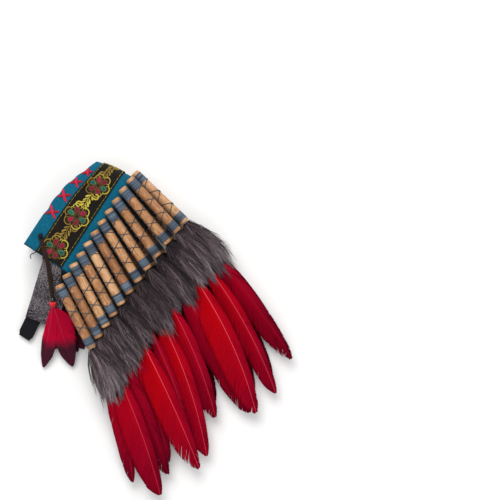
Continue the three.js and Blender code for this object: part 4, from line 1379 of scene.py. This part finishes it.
def bead_part(middle, way, side, up):
    """A bead with a hole: rings of a flattened ball, whose radius goes as the power 0.75 of a cosine, and two
    rings of the hole, closed round from the last to the first."""
    angle = np.linspace(0, 2 * np.pi, BEAD_SIDES, endpoint=False)
    ring = np.cos(angle)[:, None] * side + np.sin(angle)[:, None] * up
    high = BEAD_HEIGHT / 2
    tilts = np.linspace(-0.42, 0.42, 13) * np.pi
    outer = [middle + way * math.sin(a) * high + ring * BEAD_R * math.cos(a) ** 0.75 for a in tilts]
    hole = [middle + way * z * high + ring * BEAD_HOLE_R for z in (0.9, -0.9)]
    rings = len(outer) + len(hole)
    verts = np.concatenate(outer + hole)
    j = np.arange(BEAD_SIDES)
    k = (j + 1) % BEAD_SIDES
    last = (rings - 1) * BEAD_SIDES
    closing = np.stack([last + j, last + k, k, j], -1)
    return verts, outward(verts, [grid_faces(rings, BEAD_SIDES, wrap=True), closing]), {}


def tie_part(rng, start, way, up):
    """Red thread wound round the feathers' roots: turns that swell as a half sine, on a waisted profile."""
    t = np.linspace(0, 1, TIE_STEPS + 1)
    radius = (TIE_R + TIE_EXTRA) * np.interp(t, TIE_AT, TIE_W) + 0.3 * np.abs(np.sin(np.pi * TIE_TURNS * t))
    rings, angle = lathe_rings(start, way, up, TIE_LENGTH * t, radius, TIE_SIDES)
    verts, faces = closed_lathe(rings, start, start + way * TIE_LENGTH)
    shade = rng.random(TIE_TURNS + 1)[(t * TIE_TURNS).astype(int)]
    run = with_ends(np.tile(angle * 3, len(t)), 0, 0)
    return verts, faces, {"run": run, "tone": with_ends(np.repeat(shade, TIE_SIDES), 0.5, 0.5)}


def side_path(root, heading, length, tip_z, sag):
    """The surface of a short feather: straight in plan, it sinks from its root to its tip as a power."""
    c, s = math.cos(heading), math.sin(heading)
    ahead, beside = np.array([c, s, 0]), np.array([-s, c, 0])

    def point(s, w, n):
        """The point at the length s, w across and n above the quill."""
        s, w, n = np.broadcast_arrays(s, w, n)
        left = np.maximum(1 - np.clip(s / length, 0, 1.02), 0)
        points = root + s[..., None] * ahead + w[..., None] * beside
        points[..., 2] = np.maximum(mix(tip_z, root[2], left**sag) + n * 0.9, 0.5)
        return points

    return point


def side_lace(name, route, spread, tip_z, sag, seed):
    """A suede lace to a bead, a tie of red thread, and three short feathers that spread from it. The lace
    narrows where it enters the bead."""
    rng = np.random.default_rng(seed)
    path = catmull(route, LACE_STEPS)
    half = (LACE_FLAT_W / 2 * np.interp(np.linspace(0, 1, LACE_STEPS), LACE_AT, LACE_W))[None]
    verts, faces, _, _ = tubes(path[None], *frames_along(path[None], UP), half, LACE_FLAT_T / 2, LACE_SIDES)
    cord = piece(f"side_lace_{name}_suede", [(verts, faces, {})], suede, "lace", f"side_lace_{name}")

    way = unit(path[-1] - path[-3])
    side = unit(np.cross(UP, way))
    up = np.cross(way, side)
    ball = bead_part(path[-1] - way * BEAD_HEIGHT / 2, way, side, up)
    bead = piece(f"side_bead_{name}_gloss", [ball], bead_gloss, "bead", f"side_bead_{name}")
    start = path[-1] + way * GAP
    tie = piece(f"side_tie_{name}", [tie_part(rng, start, way, up)], tie_thread, "side_feather")

    # A row for each feather: its turn in degrees, its lift, its length as a share, and its vanes' widths.
    rows = ((-spread, 0.0, 1.0, 0.62, 1.05), (spread, 0.4, 1.0, 1.1, 1.5), (-2.0, 0.9, 0.7, 0.8, 1.0))
    root = start + way * TIE_LENGTH / 2
    parts = []
    for turn, lift, share, low, high in rows:
        length = SIDE_LENGTH * share
        surface = side_path(root, math.atan2(way[1], way[0]) + math.radians(turn), length, tip_z + lift, sag)
        widths = (SIDE_WIDTH / 2 * low, SIDE_WIDTH / 2 * high)
        outlines = (SIDE_OUTLINE, BROAD_OUTLINE if high > 1.2 else SIDE_OUTLINE)
        look = (SIDE_BARBS, SIDE_DEPTH, SIDE_SPLITS, SIDE_FRAY, SIDE_OPEN)
        parts += feather(rng, surface, length, SIDE_START, widths, outlines, *look)
    obj = piece(f"side_feathers_{name}_barbs", parts, side_feather, "side_feather", f"side_feathers_{name}")

    length = np.linalg.norm(np.diff(path, axis=0), axis=1).sum() * MM


side_lace("left", UPPER_LACE, 13.0, 6.0, 1.15, 5)
side_lace("right", UNDER_LACE, 3.0, 1.5, 2.8, 6)

# Knot and loose end of black thread where the lace on top is sewn on: three crossed loops and a tail.
KNOT_U, KNOT_X, KNOT_OFF = 131.6, -24.0, FELT / 2 + 5.6
KNOT_WIDE, KNOT_HIGH = 2.2, 1.5
# Its threads: half their width, their height, their sides and the length that their material counts.
LOOP_THREAD, TAIL_THREAD = (1.5, 1.3, 8, 12), (0.6, 0.6, 6, 20)
knot = off_band(KNOT_U, KNOT_X, KNOT_OFF)
knot_parts = []
for k in range(3):
    t = np.linspace(0, 2 * np.pi, 20)
    a = k * math.pi / 3
    loop = [KNOT_WIDE * np.cos(t) * math.cos(a), KNOT_WIDE * np.cos(t) * math.sin(a), KNOT_HIGH * np.sin(t)]
    beside = np.array([math.sin(a), -math.cos(a), 0.2])
    knot_parts.append(thread(knot + np.stack(loop, -1), beside, *LOOP_THREAD, tone=0.4))
knot_parts.append(thread(catmull(KNOT_TAIL, 30), UP, *TAIL_THREAD, tone=0.5))
piece("lace_knot", knot_parts, black_thread, "lace")
